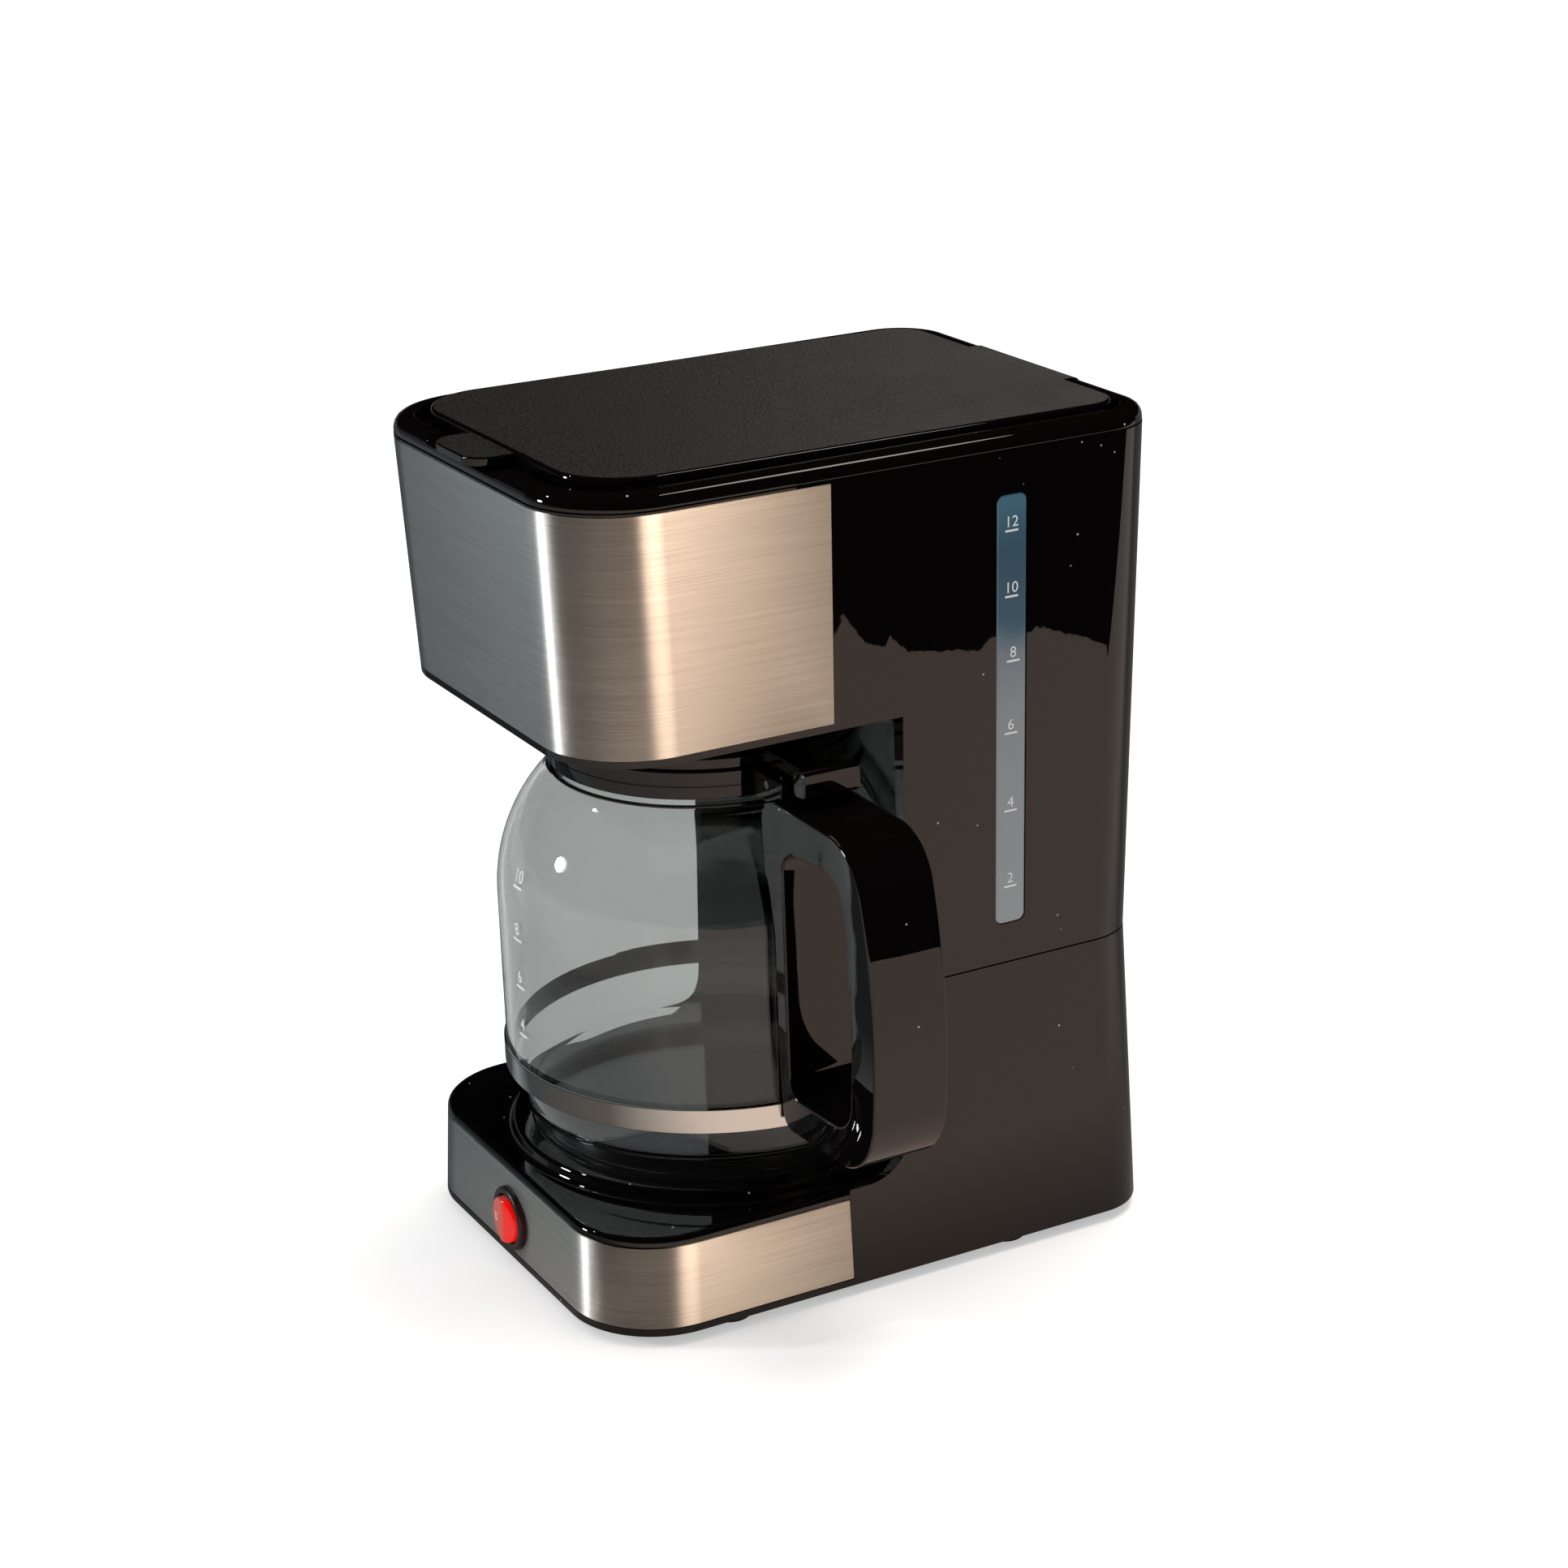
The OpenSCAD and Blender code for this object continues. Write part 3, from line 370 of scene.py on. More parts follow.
# Turns rows of radius and height about an upright axis
def lathe(name, profile, centre=carafeCentre, steps=128, joined=False):
    loops = [[(centre[0] + r * cos(a), centre[1] + r * sin(a), z) for a in around(steps)] for r, z in profile]
    return skin(name, loops, joined=joined, capped=False)


def drum(name, r, low, high, centre=carafeCentre, steps=128):
    return lathe(name, [(0, low), (r, low), (r, high), (0, high)], centre, steps)


def ring(name, profile, centre=carafeCentre, steps=128):
    return lathe(name, profile, centre, steps, joined=True)


# A flat outline carried along one axis, from the first to the second of the ends
def prism(name, outline, ends, axis):
    spots = {"X": lambda u, v, e: (e, u, v), "Y": lambda u, v, e: (u, e, v), "Z": lambda u, v, e: (u, v, e)}
    return skin(name, [[spots[axis](u, v, e) for u, v in outline] for e in ends])


def block(name, low, high):
    (a, b, c), (d, e, f) = low, high
    return prism(name, [(a, b), (d, b), (d, e), (a, e)], (c, f), "Z")


def rod(name, start, end, r, steps=48):
    start, end = Vector(start), Vector(end)
    turn = (end - start).to_track_quat("Z", "Y").to_matrix()
    circle = [turn @ Vector((r * cos(a), r * sin(a), 0)) for a in around(steps)]
    return skin(name, [[p + q for p in circle] for q in (start, end)])


def turnedAt(place, degrees, axis):
    return Matrix.Translation(place) @ Matrix.Rotation(radians(degrees), 4, axis)


# Applies the modifiers; a text or curve becomes a mesh
def settled(thing):
    graph = bpy.context.evaluated_depsgraph_get()
    data = bpy.data.meshes.new_from_object(thing.evaluated_get(graph), depsgraph=graph)
    old = thing.data
    thing.modifiers.clear()
    if thing.type == "MESH":
        thing.data = data
        bpy.data.meshes.remove(old)
        return thing
    fresh = addObject(thing.name, data)
    bpy.data.objects.remove(thing)
    return fresh


def carve(thing, operation, *tools):
    for tool in tools:
        step = thing.modifiers.new("carve", "BOOLEAN")
        step.operation = operation
        step.solver = "EXACT"
        step.object = tool
    settled(thing)
    for tool in tools:
        bpy.data.objects.remove(tool)
    return thing


# Cuts the faces across at the given planes, so that a large wall is made of simple faces
def score(thing, *planes):
    def cut(shape):
        for place, normal in planes:
            every = shape.verts[:] + shape.edges[:] + shape.faces[:]
            bmesh.ops.bisect_plane(shape, geom=every, plane_co=place, plane_no=normal, dist=0.001)
    return edit(thing, cut)


def soften(thing, width, segments=2, angle=35):
    edge = thing.modifiers.new("edge", "BEVEL")
    edge.width = width
    edge.segments = segments
    edge.limit_method = "ANGLE"
    edge.angle_limit = radians(angle)
    edge.use_clamp_overlap = True
    edge.miter_outer = "MITER_ARC"
    return settled(thing)


# Marks the faces that look up, which the mould's grain covers
def markTop(thing, least):
    data = thing.data
    grained = data.attributes.new("grained", "FLOAT", "FACE")
    grained.data.foreach_set("value", [1.0 if face.normal.z > least else 0.0 for face in data.polygons])


# Shades the piece, moves it into the frame, ties it to its body and hides the CAD nodes it stands in for
def finishPiece(thing, name, material, body, slotName, *nodes, sharp=35, weighted=True):
    data = thing.data
    data.polygons.foreach_set("use_smooth", [True] * len(data.polygons))
    data.set_sharp_from_angle(angle=radians(sharp))
    if weighted:
        step = thing.modifiers.new("weight", "WEIGHTED_NORMAL")
        step.keep_sharp = True
        settled(thing)
    thing.data.transform(toFrame)
    thing.data.materials.clear()
    thing.data.materials.append(finish[material])
    thing.name = name
    thing.data.name = name
    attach(thing, body)
    if nodes:
        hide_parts(*nodes)
    return thing


# The outline that the body's walls, wraps and rim share
bodyShape = dict(width=170, headReach=96, towerReach=134, wall=2.6, frontCorner=34, rearCorner=22, sideDraft=1.46,
    backDraft=1.35, frontDraft=2.2, skirtFlare=3.2, skirtRake=2.8, skirtBack=0.6, skirt=4, deck=38, seam=112,
    ceiling=213.6, wrapTop=300.5, housingTop=301.7, nicheRadius=84, bayBack=27)


def slope(degrees):
    return tan(radians(degrees))


def bodySize(z):
    s = bodyShape
    half = s["width"] / 2 - (s["wrapTop"] - max(z, s["seam"])) * slope(s["sideDraft"])
    back = s["towerReach"] - (s["wrapTop"] - max(z, s["seam"])) * slope(s["backDraft"])
    if z < s["seam"]:
        half += (s["seam"] - z) * slope(s["skirtFlare"])
        back += (s["seam"] - z) * slope(s["skirtBack"])
        return half, -s["headReach"] + 0.5 + (z - s["skirt"]) * slope(s["skirtRake"]), back
    return half, -s["headReach"] + (s["wrapTop"] - z) * slope(s["frontDraft"]), back


def bodyLoop(z, inset=0.0):
    half, front, back = bodySize(z)
    outline = roundedOutline(-half + inset, half - inset, front + inset, back - inset,
        bodyShape["frontCorner"] - inset, bodyShape["rearCorner"] - inset)
    return [(x, y, z) for x, y in outline]


def bodyBlock(name, rows):
    return skin(name, [bodyLoop(z, inset) for inset, z in rows])


# The open space for the carafe: a round niche in front of the tower
def bay(name, z0, z1, grow=0.0):
    front = block(name, (-120, -150, z0), (120, bodyShape["bayBack"] + grow, z1))
    return carve(front, "UNION", drum("niche", bodyShape["nicheRadius"] + grow, z0, z1, steps=160))


def bodyCutter(z0, z1, inset):
    return bodyBlock("cutter", [(inset, z0), (inset, z1)])


baseSet = dict(bandLow=6.8, recess=0.8, switchHole=10.1, switchZ=20, glandX=46, glandZ=24, glandHole=6.1,
    cheek=dict(start=0.3, run=19, rise=20, foot=41.2, lip=40.6), cheekX=66, edge=0.35,
    cuts=dict(z=(25, 37.6, 41.5, 44, 50, 62), y=(0.7, 8, 16, 24, 32)))


def makeLowerHousing(s=baseSet, b=bodyShape):
    shell = bodyBlock("shell", [(0.6, b["skirt"]), (0.15, b["skirt"] + 0.25), (0, b["skirt"] + 0.8),
        (0, b["seam"] - 0.3), (0.3, b["seam"] - 0.001)])
    hollow = carve(bodyCutter(b["skirt"] - 1, b["seam"] + 1, b["wall"]), "DIFFERENCE",
        bay("bay", b["deck"], b["seam"] + 4, b["wall"]))
    recess = carve(block("recess", (-100, -110, s["bandLow"]), (100, 0.2, b["deck"])), "DIFFERENCE",
        bodyCutter(b["skirt"], b["deck"] + 20, s["recess"]))
    carve(shell, "DIFFERENCE", hollow, bay("bay", b["deck"], b["seam"] + 2), recess,
        rod("hole", (0, -110, s["switchZ"]), (0, -80, s["switchZ"]), s["switchHole"]),
        rod("hole", (s["glandX"], 110, s["glandZ"]), (s["glandX"], 140, s["glandZ"]), s["glandHole"]))
    c, back, low = s["cheek"], b["bayBack"], b["deck"] - 0.1
    sweep = [(back - c["run"] * (1 - cos(a)), c["foot"] + c["rise"] * (1 - sin(a)))
        for a in (radians(4 * k) for k in range(23))]
    curve = ([(back + 1, low), (back + 1, c["foot"] + c["rise"])] + sweep
        + [(c["start"] + 0.8, c["foot"]), (c["start"], c["lip"]), (c["start"], low)])
    for side in (-1, 1):
        cheek = prism("cheek", curve, (side * s["cheekX"], side * 90), "X")
        carve(cheek, "INTERSECT", bodyCutter(b["deck"] - 1, b["seam"], 0))
        carve(cheek, "DIFFERENCE", drum("niche", b["nicheRadius"], 30, 80, steps=160))
        carve(shell, "UNION", cheek)
    score(shell, *(((0, 0, z), (0, 0, 1)) for z in s["cuts"]["z"]),
        *(((0, y, 0), (0, 1, 0)) for y in s["cuts"]["y"]))
    soften(shell, s["edge"])
    return finishPiece(shell, "lowerHousingMoulding", "glossAbs", "housing", "gloss_black", "base_skirt",
        "lower_housing")


deckSet = dict(nicheRadius=83.85, edgeRings=[(0, 38.02), (0, 39.3), (0.3, 40.25), (0.9, 40.85), (1.9, 41.2)],
    ringProfile=[(66, 41.5), (66, 44), (69.4, 44), (69.4, 45.5), (69.6, 45.85), (70, 46), (75.3, 46),
        (76, 45.85), (76.6, 45.4), (77, 44.7), (77.5, 43), (78, 42), (78.8, 41.4), (80, 41.19), (80, 38.5),
        (76, 38.5), (76, 41.5)])


def makeDeck(s=deckSet):
    deck = bodyBlock("deck", s["edgeRings"])
    carve(deck, "INTERSECT", carve(block("front", (-120, -150, 30), (120, 0.15, 50)), "UNION",
        drum("niche", s["nicheRadius"], 30.1, 49.9, steps=160)))
    carve(deck, "DIFFERENCE", drum("hole", 76, 30, 50))
    carve(deck, "UNION", ring("platform", s["ringProfile"], steps=144))
    return finishPiece(deck, "baseDeckMoulding", "glossAbs", "housing", "gloss_black", "base_deck", sharp=50)


bandSet = dict(thickness=0.7, edge=0.22, cornerSteps=24, bands=dict(
    baseBandStrip=(7.0, 37.3, "base_band", (20, 10.3)), headBandStrip=(216.1, 300.5, "head_band", None)))


def makeBand(name, low, high, node, hole, s=bandSet):
    def path(inset, z):
        half, front, _ = bodySize(z)
        half, front, r = half - inset, front + inset, bodyShape["frontCorner"] - inset
        corners = frontCorners(half, front, r, s["cornerSteps"])
        return [(x, y, z) for x, y in [(-half, 0)] + corners + [(half, 0)]]
    e = s["edge"]
    rings = [path(inset, z) for inset, z in ((s["thickness"], low), (e, low), (0, low + e), (0, high - e),
        (e * 0.3, high - e * 0.3), (e, high), (s["thickness"], high))]
    band = skin("band", [list(section) for section in zip(*rings)])
    if hole:
        carve(band, "DIFFERENCE", rod("hole", (0, -110, hole[0]), (0, -80, hole[0]), hole[1]))
    return finishPiece(band, name, "steel", "housing", "brushed_steel", node, weighted=False)


footSet = dict(places=[(73.5, -44), (73.5, 71)],
    profile=[(0, 0), (6.6, 0), (7.5, 0.3), (7.9, 1), (8, 1.8), (8, 4.5), (3, 4.5), (3, 6.9), (4.2, 7.2),
        (3.6, 8.5), (0, 8.5)])


def joinPieces(things, name):
    points, faces = [], []
    for thing in things:
        start = len(points)
        points += [v.co.copy() for v in thing.data.vertices]
        faces += [[start + i for i in p.vertices] for p in thing.data.polygons]
        bpy.data.objects.remove(thing)
    return rawObject(name, points, faces)


def makeFeet(s=footSet):
    feet = [lathe("foot", s["profile"], (side * x, y), 40) for x, y in s["places"] for side in (-1, 1)]
    return finishPiece(joinPieces(feet, "feet"), "rubberFeet", "rubber", "housing", "rubber_black", "feet")


plateSet = dict(profile=[(0, 51.8), (62.6, 51.8), (65.2, 45.5), (69, 45.5), (69.2, 45.7), (69.2, 46.8), (69, 47),
    (66.8, 47), (66.3, 47.3), (66, 48), (64.2, 52.3), (63.8, 52.9), (63.1, 53.25), (62.2, 53.3), (58, 53.3),
    (57.4, 53.15), (56.8, 53.3), (0, 53.3)], stud=(2.4, 23.8, 51.9))


def makeHotPlate(s=plateSet):
    plate = lathe("plate", s["profile"], steps=144)
    r, low, high = s["stud"]
    stud = lathe("stud", [(0, low), (r - 0.4, low), (r, low + 0.4), (r, high), (0, high)], steps=24)
    return finishPiece(joinPieces([plate, stud], "plate"), "hotPlateDisc", "plate", "housing", "plate_coating",
        "hot_plate", sharp=30)


def makeGland(s=baseSet):
    back = bodySize(s["glandZ"])[2]
    profile = [(3.4, -8), (7.2, -8), (7.5, -7.7), (7.5, -3), (6, -3), (6, 0.12), (8.3, 0.12), (8.5, 0.35),
        (8.5, 1.7), (8.1, 2.2), (7.4, 2.4), (4.1, 2.4), (3.4, 1.8)]
    gland = ring("gland", profile, (0, 0), 48)
    gland.data.transform(turnedAt((s["glandX"], back, s["glandZ"]), -90, "X"))
    return finishPiece(gland, "cordInletBush", "satinAbs", "housing", "satin_black", "cord_gland")


switchSet = dict(face=-94.72, z=20, bezel=12, proud=2.2, opening=9.35, body=9.9, rocker=8.7, pivot=-93.52,
    ridge=5.8, rake=9.1, rest=4)


def turnFront(thing, y, z):
    thing.data.transform(turnedAt((0, y, z), 90, "X"))
    return thing


def makeSwitchHousing(s=switchSet):
    p, o, r = s["proud"], s["opening"], s["bezel"]
    profile = [(o, -14), (o, p - 0.9), (o + 0.15, p - 0.35), (o + 0.5, p - 0.05), (o + 0.9, p),
        (r - 1.1, p - 0.05), (r - 0.45, p - 0.3), (r - 0.1, p - 0.8), (r, p - 1.3), (r, -1.2),
        (s["body"], -1.2), (s["body"], -21), (3, -21), (3, -14)]
    y, z = s["face"], s["z"]
    bezel = carve(turnFront(ring("bezel", profile, (0, 0), 96), y, z), "DIFFERENCE", bodySlab(s))
    blades = [soften(block("blade", (x - 2.4, y + 20, z - 0.4), (x + 2.4, y + 28, z + 0.4)), 0.25)
        for x in (-5, 5)]
    plug = turnFront(drum("plug", 3.2, -14.5, -20.9, (0, 0), 24), y, z)
    return finishPiece(joinPieces([bezel, plug] + blades, "switch"), "switchBezel", "bezelAbs", "housing",
        "satin_black", "switch_housing", sharp=40)


# The part of the sloping front face that the bezel lies against
def bodySlab(s):
    rows = [[(x, bodySize(z)[1] + y, z) for x, y in ((-14, -0.05), (14, -0.05), (14, 1.35), (-14, 1.35))]
        for z in (4, 38)]
    return carve(skin("slab", rows), "DIFFERENCE",
        rod("hole", (0, -110, s["z"]), (0, -80, s["z"]), s["body"] - 0.02))


def makeRocker(s=switchSet):
    r, loops = s["rocker"], []
    rows = ((0.15, 0), (2, 0), (4, 0), (6, 0), (r - 0.9, 0.0), (r - 0.4, 0.1), (r - 0.1, 0.4), (r, 0.9))
    for radius, drop in rows:
        loop = []
        for a in around(96):
            x, z = radius * cos(a), radius * sin(a)
            fall = max(0, hypot(x, 0.5) - 0.5) * slope(s["rake"])
            loop.append((x, -s["ridge"] + fall + drop, z))
        loops.append(loop)
    loops.append([(p[0], 1.0, p[2]) for p in loops[-1]])
    loops.append([(p[0] * 0.45, 5.0, p[2] * 0.8) for p in loops[-2]])
    rocker = carve(skin("rocker", loops), "UNION", rod("pin", (0, 0, -9.7), (0, 0, 9.7), 1.2, 24))
    rocker.data.transform(turnedAt((0, s["pivot"], s["z"]), s["rest"], "Z"))
    return finishPiece(rocker, "litRocker", "lens", "rocker", "red_lens", "switch_rocker", sharp=40)


# Words as a flat mesh for a printed mark; height is that of its numerals
def textMesh(words, height, depth):
    curve = bpy.data.curves.new("mark", "FONT")
    curve.body = words
    curve.size = height / 0.7
    curve.align_x = curve.align_y = "CENTER"
    curve.extrude = depth / 2
    curve.resolution_u = 5
    return settled(addObject("mark", curve))


def stroke(width, height, middle, depth):
    w, h, d = width / 2, height / 2, depth / 2
    return block("stroke", (-w, middle - h, -d), (w, middle + h, d))


# Moves every point by the rule; long marks get more points first
def bent(thing, rule):
    def bend(shape):
        if max(v.co.x for v in shape.verts) - min(v.co.x for v in shape.verts) > 3:
            bmesh.ops.subdivide_edges(shape, edges=[e for e in shape.edges if e.calc_length() > 3], cuts=5)
        for v in shape.verts:
            v.co = Vector(rule(*v.co))
        bmesh.ops.recalc_face_normals(shape, faces=shape.faces)
    return edit(thing, bend)


# Numbers with a line under each, laid on a surface by a rule; the gap is from number to line
def numberMarks(name, body, s, rule):
    marks = []
    for words, z, shift in s["places"]:
        line = stroke(*s["line"], -s["digit"] / 2 - s["gap"], s["depth"])
        for part in (textMesh(words, s["digit"], s["depth"]), line):
            marks.append(bent(part, lambda u, v, w: rule(z, shift, u, v, w)))
    return finishPiece(joinPieces(marks, name), name, "paint", body, "white_plastic", weighted=False)


def makeRockerMarks(s=switchSet):
    turn = turnedAt((0, s["pivot"], s["z"]), s["rest"], "Z")
    rounds = [[(-4.6 + q * 1.0 * cos(a), q * 1.75 * sin(a), d) for q, d in
        ((1.0, -0.03), (1.0, 0.03), (0.68, 0.03), (0.68, -0.03))] for a in around(32)]
    mark = bent(skin("ringMark", rounds, joined=True),
        lambda u, v, w: turn @ Vector((u, -s["ridge"] + abs(u) * slope(s["rake"]) - 0.1 - w, v)))
    return finishPiece(mark, "rockerMarks", "paint", "rocker", "white_plastic", weighted=False)


towerSet = dict(recess=0.8, outlet=14, edge=0.35, overflow=(18, 285, 294, 2.3), ceilingSkin=2.5)
windowSet = dict(y=64.5, width=12.4, low=127, high=286, corner=3, sink=0.25, deep=2.9, gap=0.12)


def windowOutline(grow, s=windowSet):
    r = s["corner"] + grow
    return roundedOutline(s["y"] - grow, s["y"] + s["width"] + grow, s["low"] - grow, s["high"] + grow, r, r, 8)


def makeUpperHousing(s=towerSet, b=bodyShape):
    top = b["housingTop"]
    shell = bodyBlock("shell", [(0.3, b["seam"] + 0.001), (0, b["seam"] + 0.3), (0, top - 0.3), (0.3, top)])
    roof = b["ceiling"] + s["ceilingSkin"]
    hollow = carve(bodyCutter(b["seam"] - 1, top + 1, b["wall"]), "DIFFERENCE",
        bay("bay", b["seam"] - 4, roof, b["wall"]))
    recess = carve(block("recess", (-100, -110, roof), (100, 0.2, b["wrapTop"] + 0.2)), "DIFFERENCE",
        bodyCutter(b["seam"] + 1, top + 1, s["recess"]))
    carve(shell, "DIFFERENCE", hollow, bay("bay", b["seam"] - 2, b["ceiling"]), recess,
        prism("hole", windowOutline(0), (60, 100), "X"), drum("outlet", s["outlet"], 200, 220, steps=64))
    half, low, high, proud = s["overflow"]
    rear = bodySize(289)[2]
    lip = soften(block("lip", (-half, rear - 1, low), (half, rear + proud, high)), 0.6, 3)
    carve(shell, "UNION", lip)
    soften(shell, s["edge"])
    return finishPiece(shell, "upperHousingMoulding", "glossAbs", "housing", "gloss_black", "upper_housing")


def makeWindowPiece(s=windowSet):
    def loop(inset, depth):
        return [(bodySize(z)[0] - depth, y, z) for y, z in windowOutline(-s["gap"] - inset)]
    pane = skin("pane", [loop(inset, depth) for inset, depth in ((0, s["deep"]), (0, 0.75), (0.1, 0.45),
        (0.35, 0.28), (0.8, s["sink"]))])
    return finishPiece(pane, "levelWindowPane", "window", "housing", "window_plastic", "level_window", sharp=60)


levelMarks = dict(places=[("12", 272.9, 0), ("10", 249.3, 0), ("8", 225.7, 0.8), ("6", 199.1, 0), ("4", 170.0, 0),
    ("2", 141.1, 0)], middle=70.7, digit=3.9, line=(5.2, 0.75), gap=1.1, depth=0.05)


def makeLevelMarks(s=levelMarks):
    def onWindow(z, shift, u, v, w):
        return (bodySize(z)[0] - windowSet["sink"] + 0.07 + w + (v + s["digit"] / 2 + s["gap"])
            * slope(bodyShape["sideDraft"]), s["middle"] + shift + u, z + v + s["digit"] / 2 + s["gap"])
    return numberMarks("levelMarks", "housing", s, onWindow)


rimSet = dict(profile=[(0.3, 301.82), (0.15, 302.1), (0.15, 302.7), (0.3, 303.8), (0.75, 305.1), (1.6, 306.3),
    (2.8, 307.15), (4.2, 307.55), (5.0, 307.6), (7.6, 307.6), (8.0, 307.45), (8.2, 307.1), (8.2, 301.2),
    (13.5, 301.2), (13.5, 299.6), (2.9, 299.6), (2.9, 301.78)], fingerHalf=29, fingerFloor=304.6, fingerFlare=2.2,
    gapHalf=33.5, rodEnd=41, rodHole=1.56, hinge=(130, 305))


def makeRim(s=rimSet):
    rim = skin("rim", [bodyLoop(z, inset) for inset, z in s["profile"]], joined=True)
    y, z = s["hinge"]
    gap = block("gap", (-s["gapHalf"], 112, 290), (s["gapHalf"], 152, 320))
    half = s["fingerHalf"]
    dip = skin("dip", [[(-f, -120, z), (f, -120, z), (f, -70, z), (-f, -70, z)]
        for f, z in ((half, s["fingerFloor"]), (half + s["fingerFlare"], 312))])
    soften(dip, 1.2, 3)
    carve(rim, "DIFFERENCE", gap, dip, rod("rod", (-s["rodEnd"], y, z), (s["rodEnd"], y, z), s["rodHole"], 32))
    soften(rim, 0.3, 2, 50)
    return finishPiece(rim, "topRimMoulding", "glossAbs", "housing", "gloss_black", "top_rim", sharp=42)


lidSet = dict(half=73.8, front=-83.5, back=124.3, frontCorner=26, backCorner=13, wall=2.2, top=309, rise=0.35,
    rows=[(0.4, 301.6), (0, 302), (0, 307.3), (0.1, 307.85), (0.3, 308.3), (0.65, 308.7), (1.1, 308.92),
        (1.7, 309)],
    tabHalf=18, tabFront=-99.5, tabCorner=9, tab=(304.7, 308.1), knuckle=2.95, knuckleHalf=32)


def lidLoop(z, inset=0.0, s=lidSet):
    half = s["half"] - inset
    outline = roundedOutline(-half, half, s["front"] + inset, s["back"] - inset, s["frontCorner"] - inset,
        s["backCorner"] - inset)
    return [(x, y, z) for x, y in outline]


def makeLid(s=lidSet):
    y, z = rimSet["hinge"]
    lid = skin("lid", [lidLoop(height, inset) for inset, height in s["rows"]])
    carve(lid, "DIFFERENCE", skin("hollow", [lidLoop(300, s["wall"]), lidLoop(s["top"] - s["wall"], s["wall"])]))
    r, half = s["tabCorner"], s["tabHalf"]
    outline = frontCorners(half, s["tabFront"], r, 12) + [(half, s["front"] + 2.6), (-half, s["front"] + 2.6)]
    tab = soften(prism("tab", outline, s["tab"], "Z"), 0.7, 4)
    k, top, near = s["knuckleHalf"], z + s["knuckle"], s["back"] - 1.5
    web = prism("web", [(near, z + 0.5), (y, z + 0.5), (y, top), (near, top)], (-k, k), "X")
    carve(lid, "UNION", tab, web, rod("barrel", (-k, y, z), (k, y, z), s["knuckle"], 48))
    carve(lid, "DIFFERENCE", rod("rod", (-50, y, z), (50, y, z), rimSet["rodHole"], 32))
    lid.data.transform(turnedAt((0, y, z), -s["rise"], "X") @ Matrix.Translation((0, -y, -z)))
    markTop(lid, 0.94)
    return finishPiece(lid, "lidPanel", "lidAbs", "lid", "satin_black", "lid_cover", sharp=42)


glassSet = dict(foot=53.6, footCorner=7, footEdge=74.8, belly=(77.5, 80), shoulder=(12.5, 135, 65), neck=55,
    neckZ=182.4, rim=193, wall=2.4)


def glassLine(t, s=glassSet):
    c = s["footCorner"]
    x, z, r = s["shoulder"]
    return ([(0, s["foot"] + t), (30, s["foot"] + t)]
        + arc(s["footEdge"] - c, s["foot"] + c, c - t, -90, -8, 10)
        + [(76.5 - t, 68), (77.15 - t, 73.5), (s["belly"][0] - t, s["belly"][1])]
        + [(s["belly"][0] - t, 98), (s["belly"][0] - t, 116)] + arc(x, z, r - t, 0, 46.5, 22)
        + [(56.6 - t, s["neckZ"] - 0.02 - t / 2), (55.3 - t, s["neckZ"] + 0.1 - t / 2),
        (s["neck"] - t, s["neckZ"] + 0.5 - t / 3), (s["neck"] - t, s["rim"] - 1)])


def makeCarafeGlass(s=glassSet):
    outer, inner = glassLine(0), glassLine(s["wall"])
    middle = s["neck"] - s["wall"] / 2
    edge = arc(middle, s["rim"] - s["wall"] / 2, s["wall"] / 2, 0, 180, 8)
    body = lathe("glass", outer[:-1] + edge + list(reversed(inner[:-1])), steps=160)
    return finishPiece(body, "carafeGlassJug", "glass", "carafe", "clear_glass", "carafe_base", "carafe_glass",
        "carafe_shoulder", sharp=60, weighted=False)


def glassRadius(z):
    line = glassLine(0)[3:]
    for (r0, z0), (r1, z1) in zip(line, line[1:]):
        if z0 <= z <= z1:
            return r0 + (r1 - r0) * (z - z0) / max(z1 - z0, 1e-6)
    return glassSet["belly"][0]


jugMarks = dict(places=[("10", 151.4, 0), ("8", 131.6, 0), ("6", 113.2, 0), ("4", 94.4, 0)], digit=4.6,
    line=(6.4, 0.8), gap=1.6, depth=0.04)


def makeJugMarks(s=jugMarks):
    def onGlass(z, shift, u, v, w):
        r = glassRadius(z + v) + 0.06 + w
        return r * sin(u / r) + shift, carafeY - r * cos(u / r), z + v
    return numberMarks("carafeMarks", "carafe", s, onGlass)


neckRingSet = dict(profile=[(55.1, 182.7), (55.4, 182.45), (56.3, 182.45), (56.5, 182.65), (56.5, 183.15),
    (56.3, 183.35), (55.1, 183.35)])


def makeNeckRing(s=neckRingSet):
    return finishPiece(ring("seal", s["profile"]), "neckSealRing", "glossAbs", "carafe", "gloss_black",
        "neck_ring")


collarSet = dict(bore=55.15, outer=56.6, low=185.6, high=196, lap=193.1, inner=51, earHalf=9, earEnd=75, arm=5.4,
    pin=(64, 192), pinHole=1.56, screwX=86)


def pinHole(s=collarSet):
    x, z = s["pin"]
    return rod("pin", (x, carafeY - 22, z), (x, carafeY + 22, z), s["pinHole"], 24)


def screwHole(low, high, r, steps=24, s=collarSet):
    return rod("hole", (s["screwX"], carafeY, low), (s["screwX"], carafeY, high), r, steps)


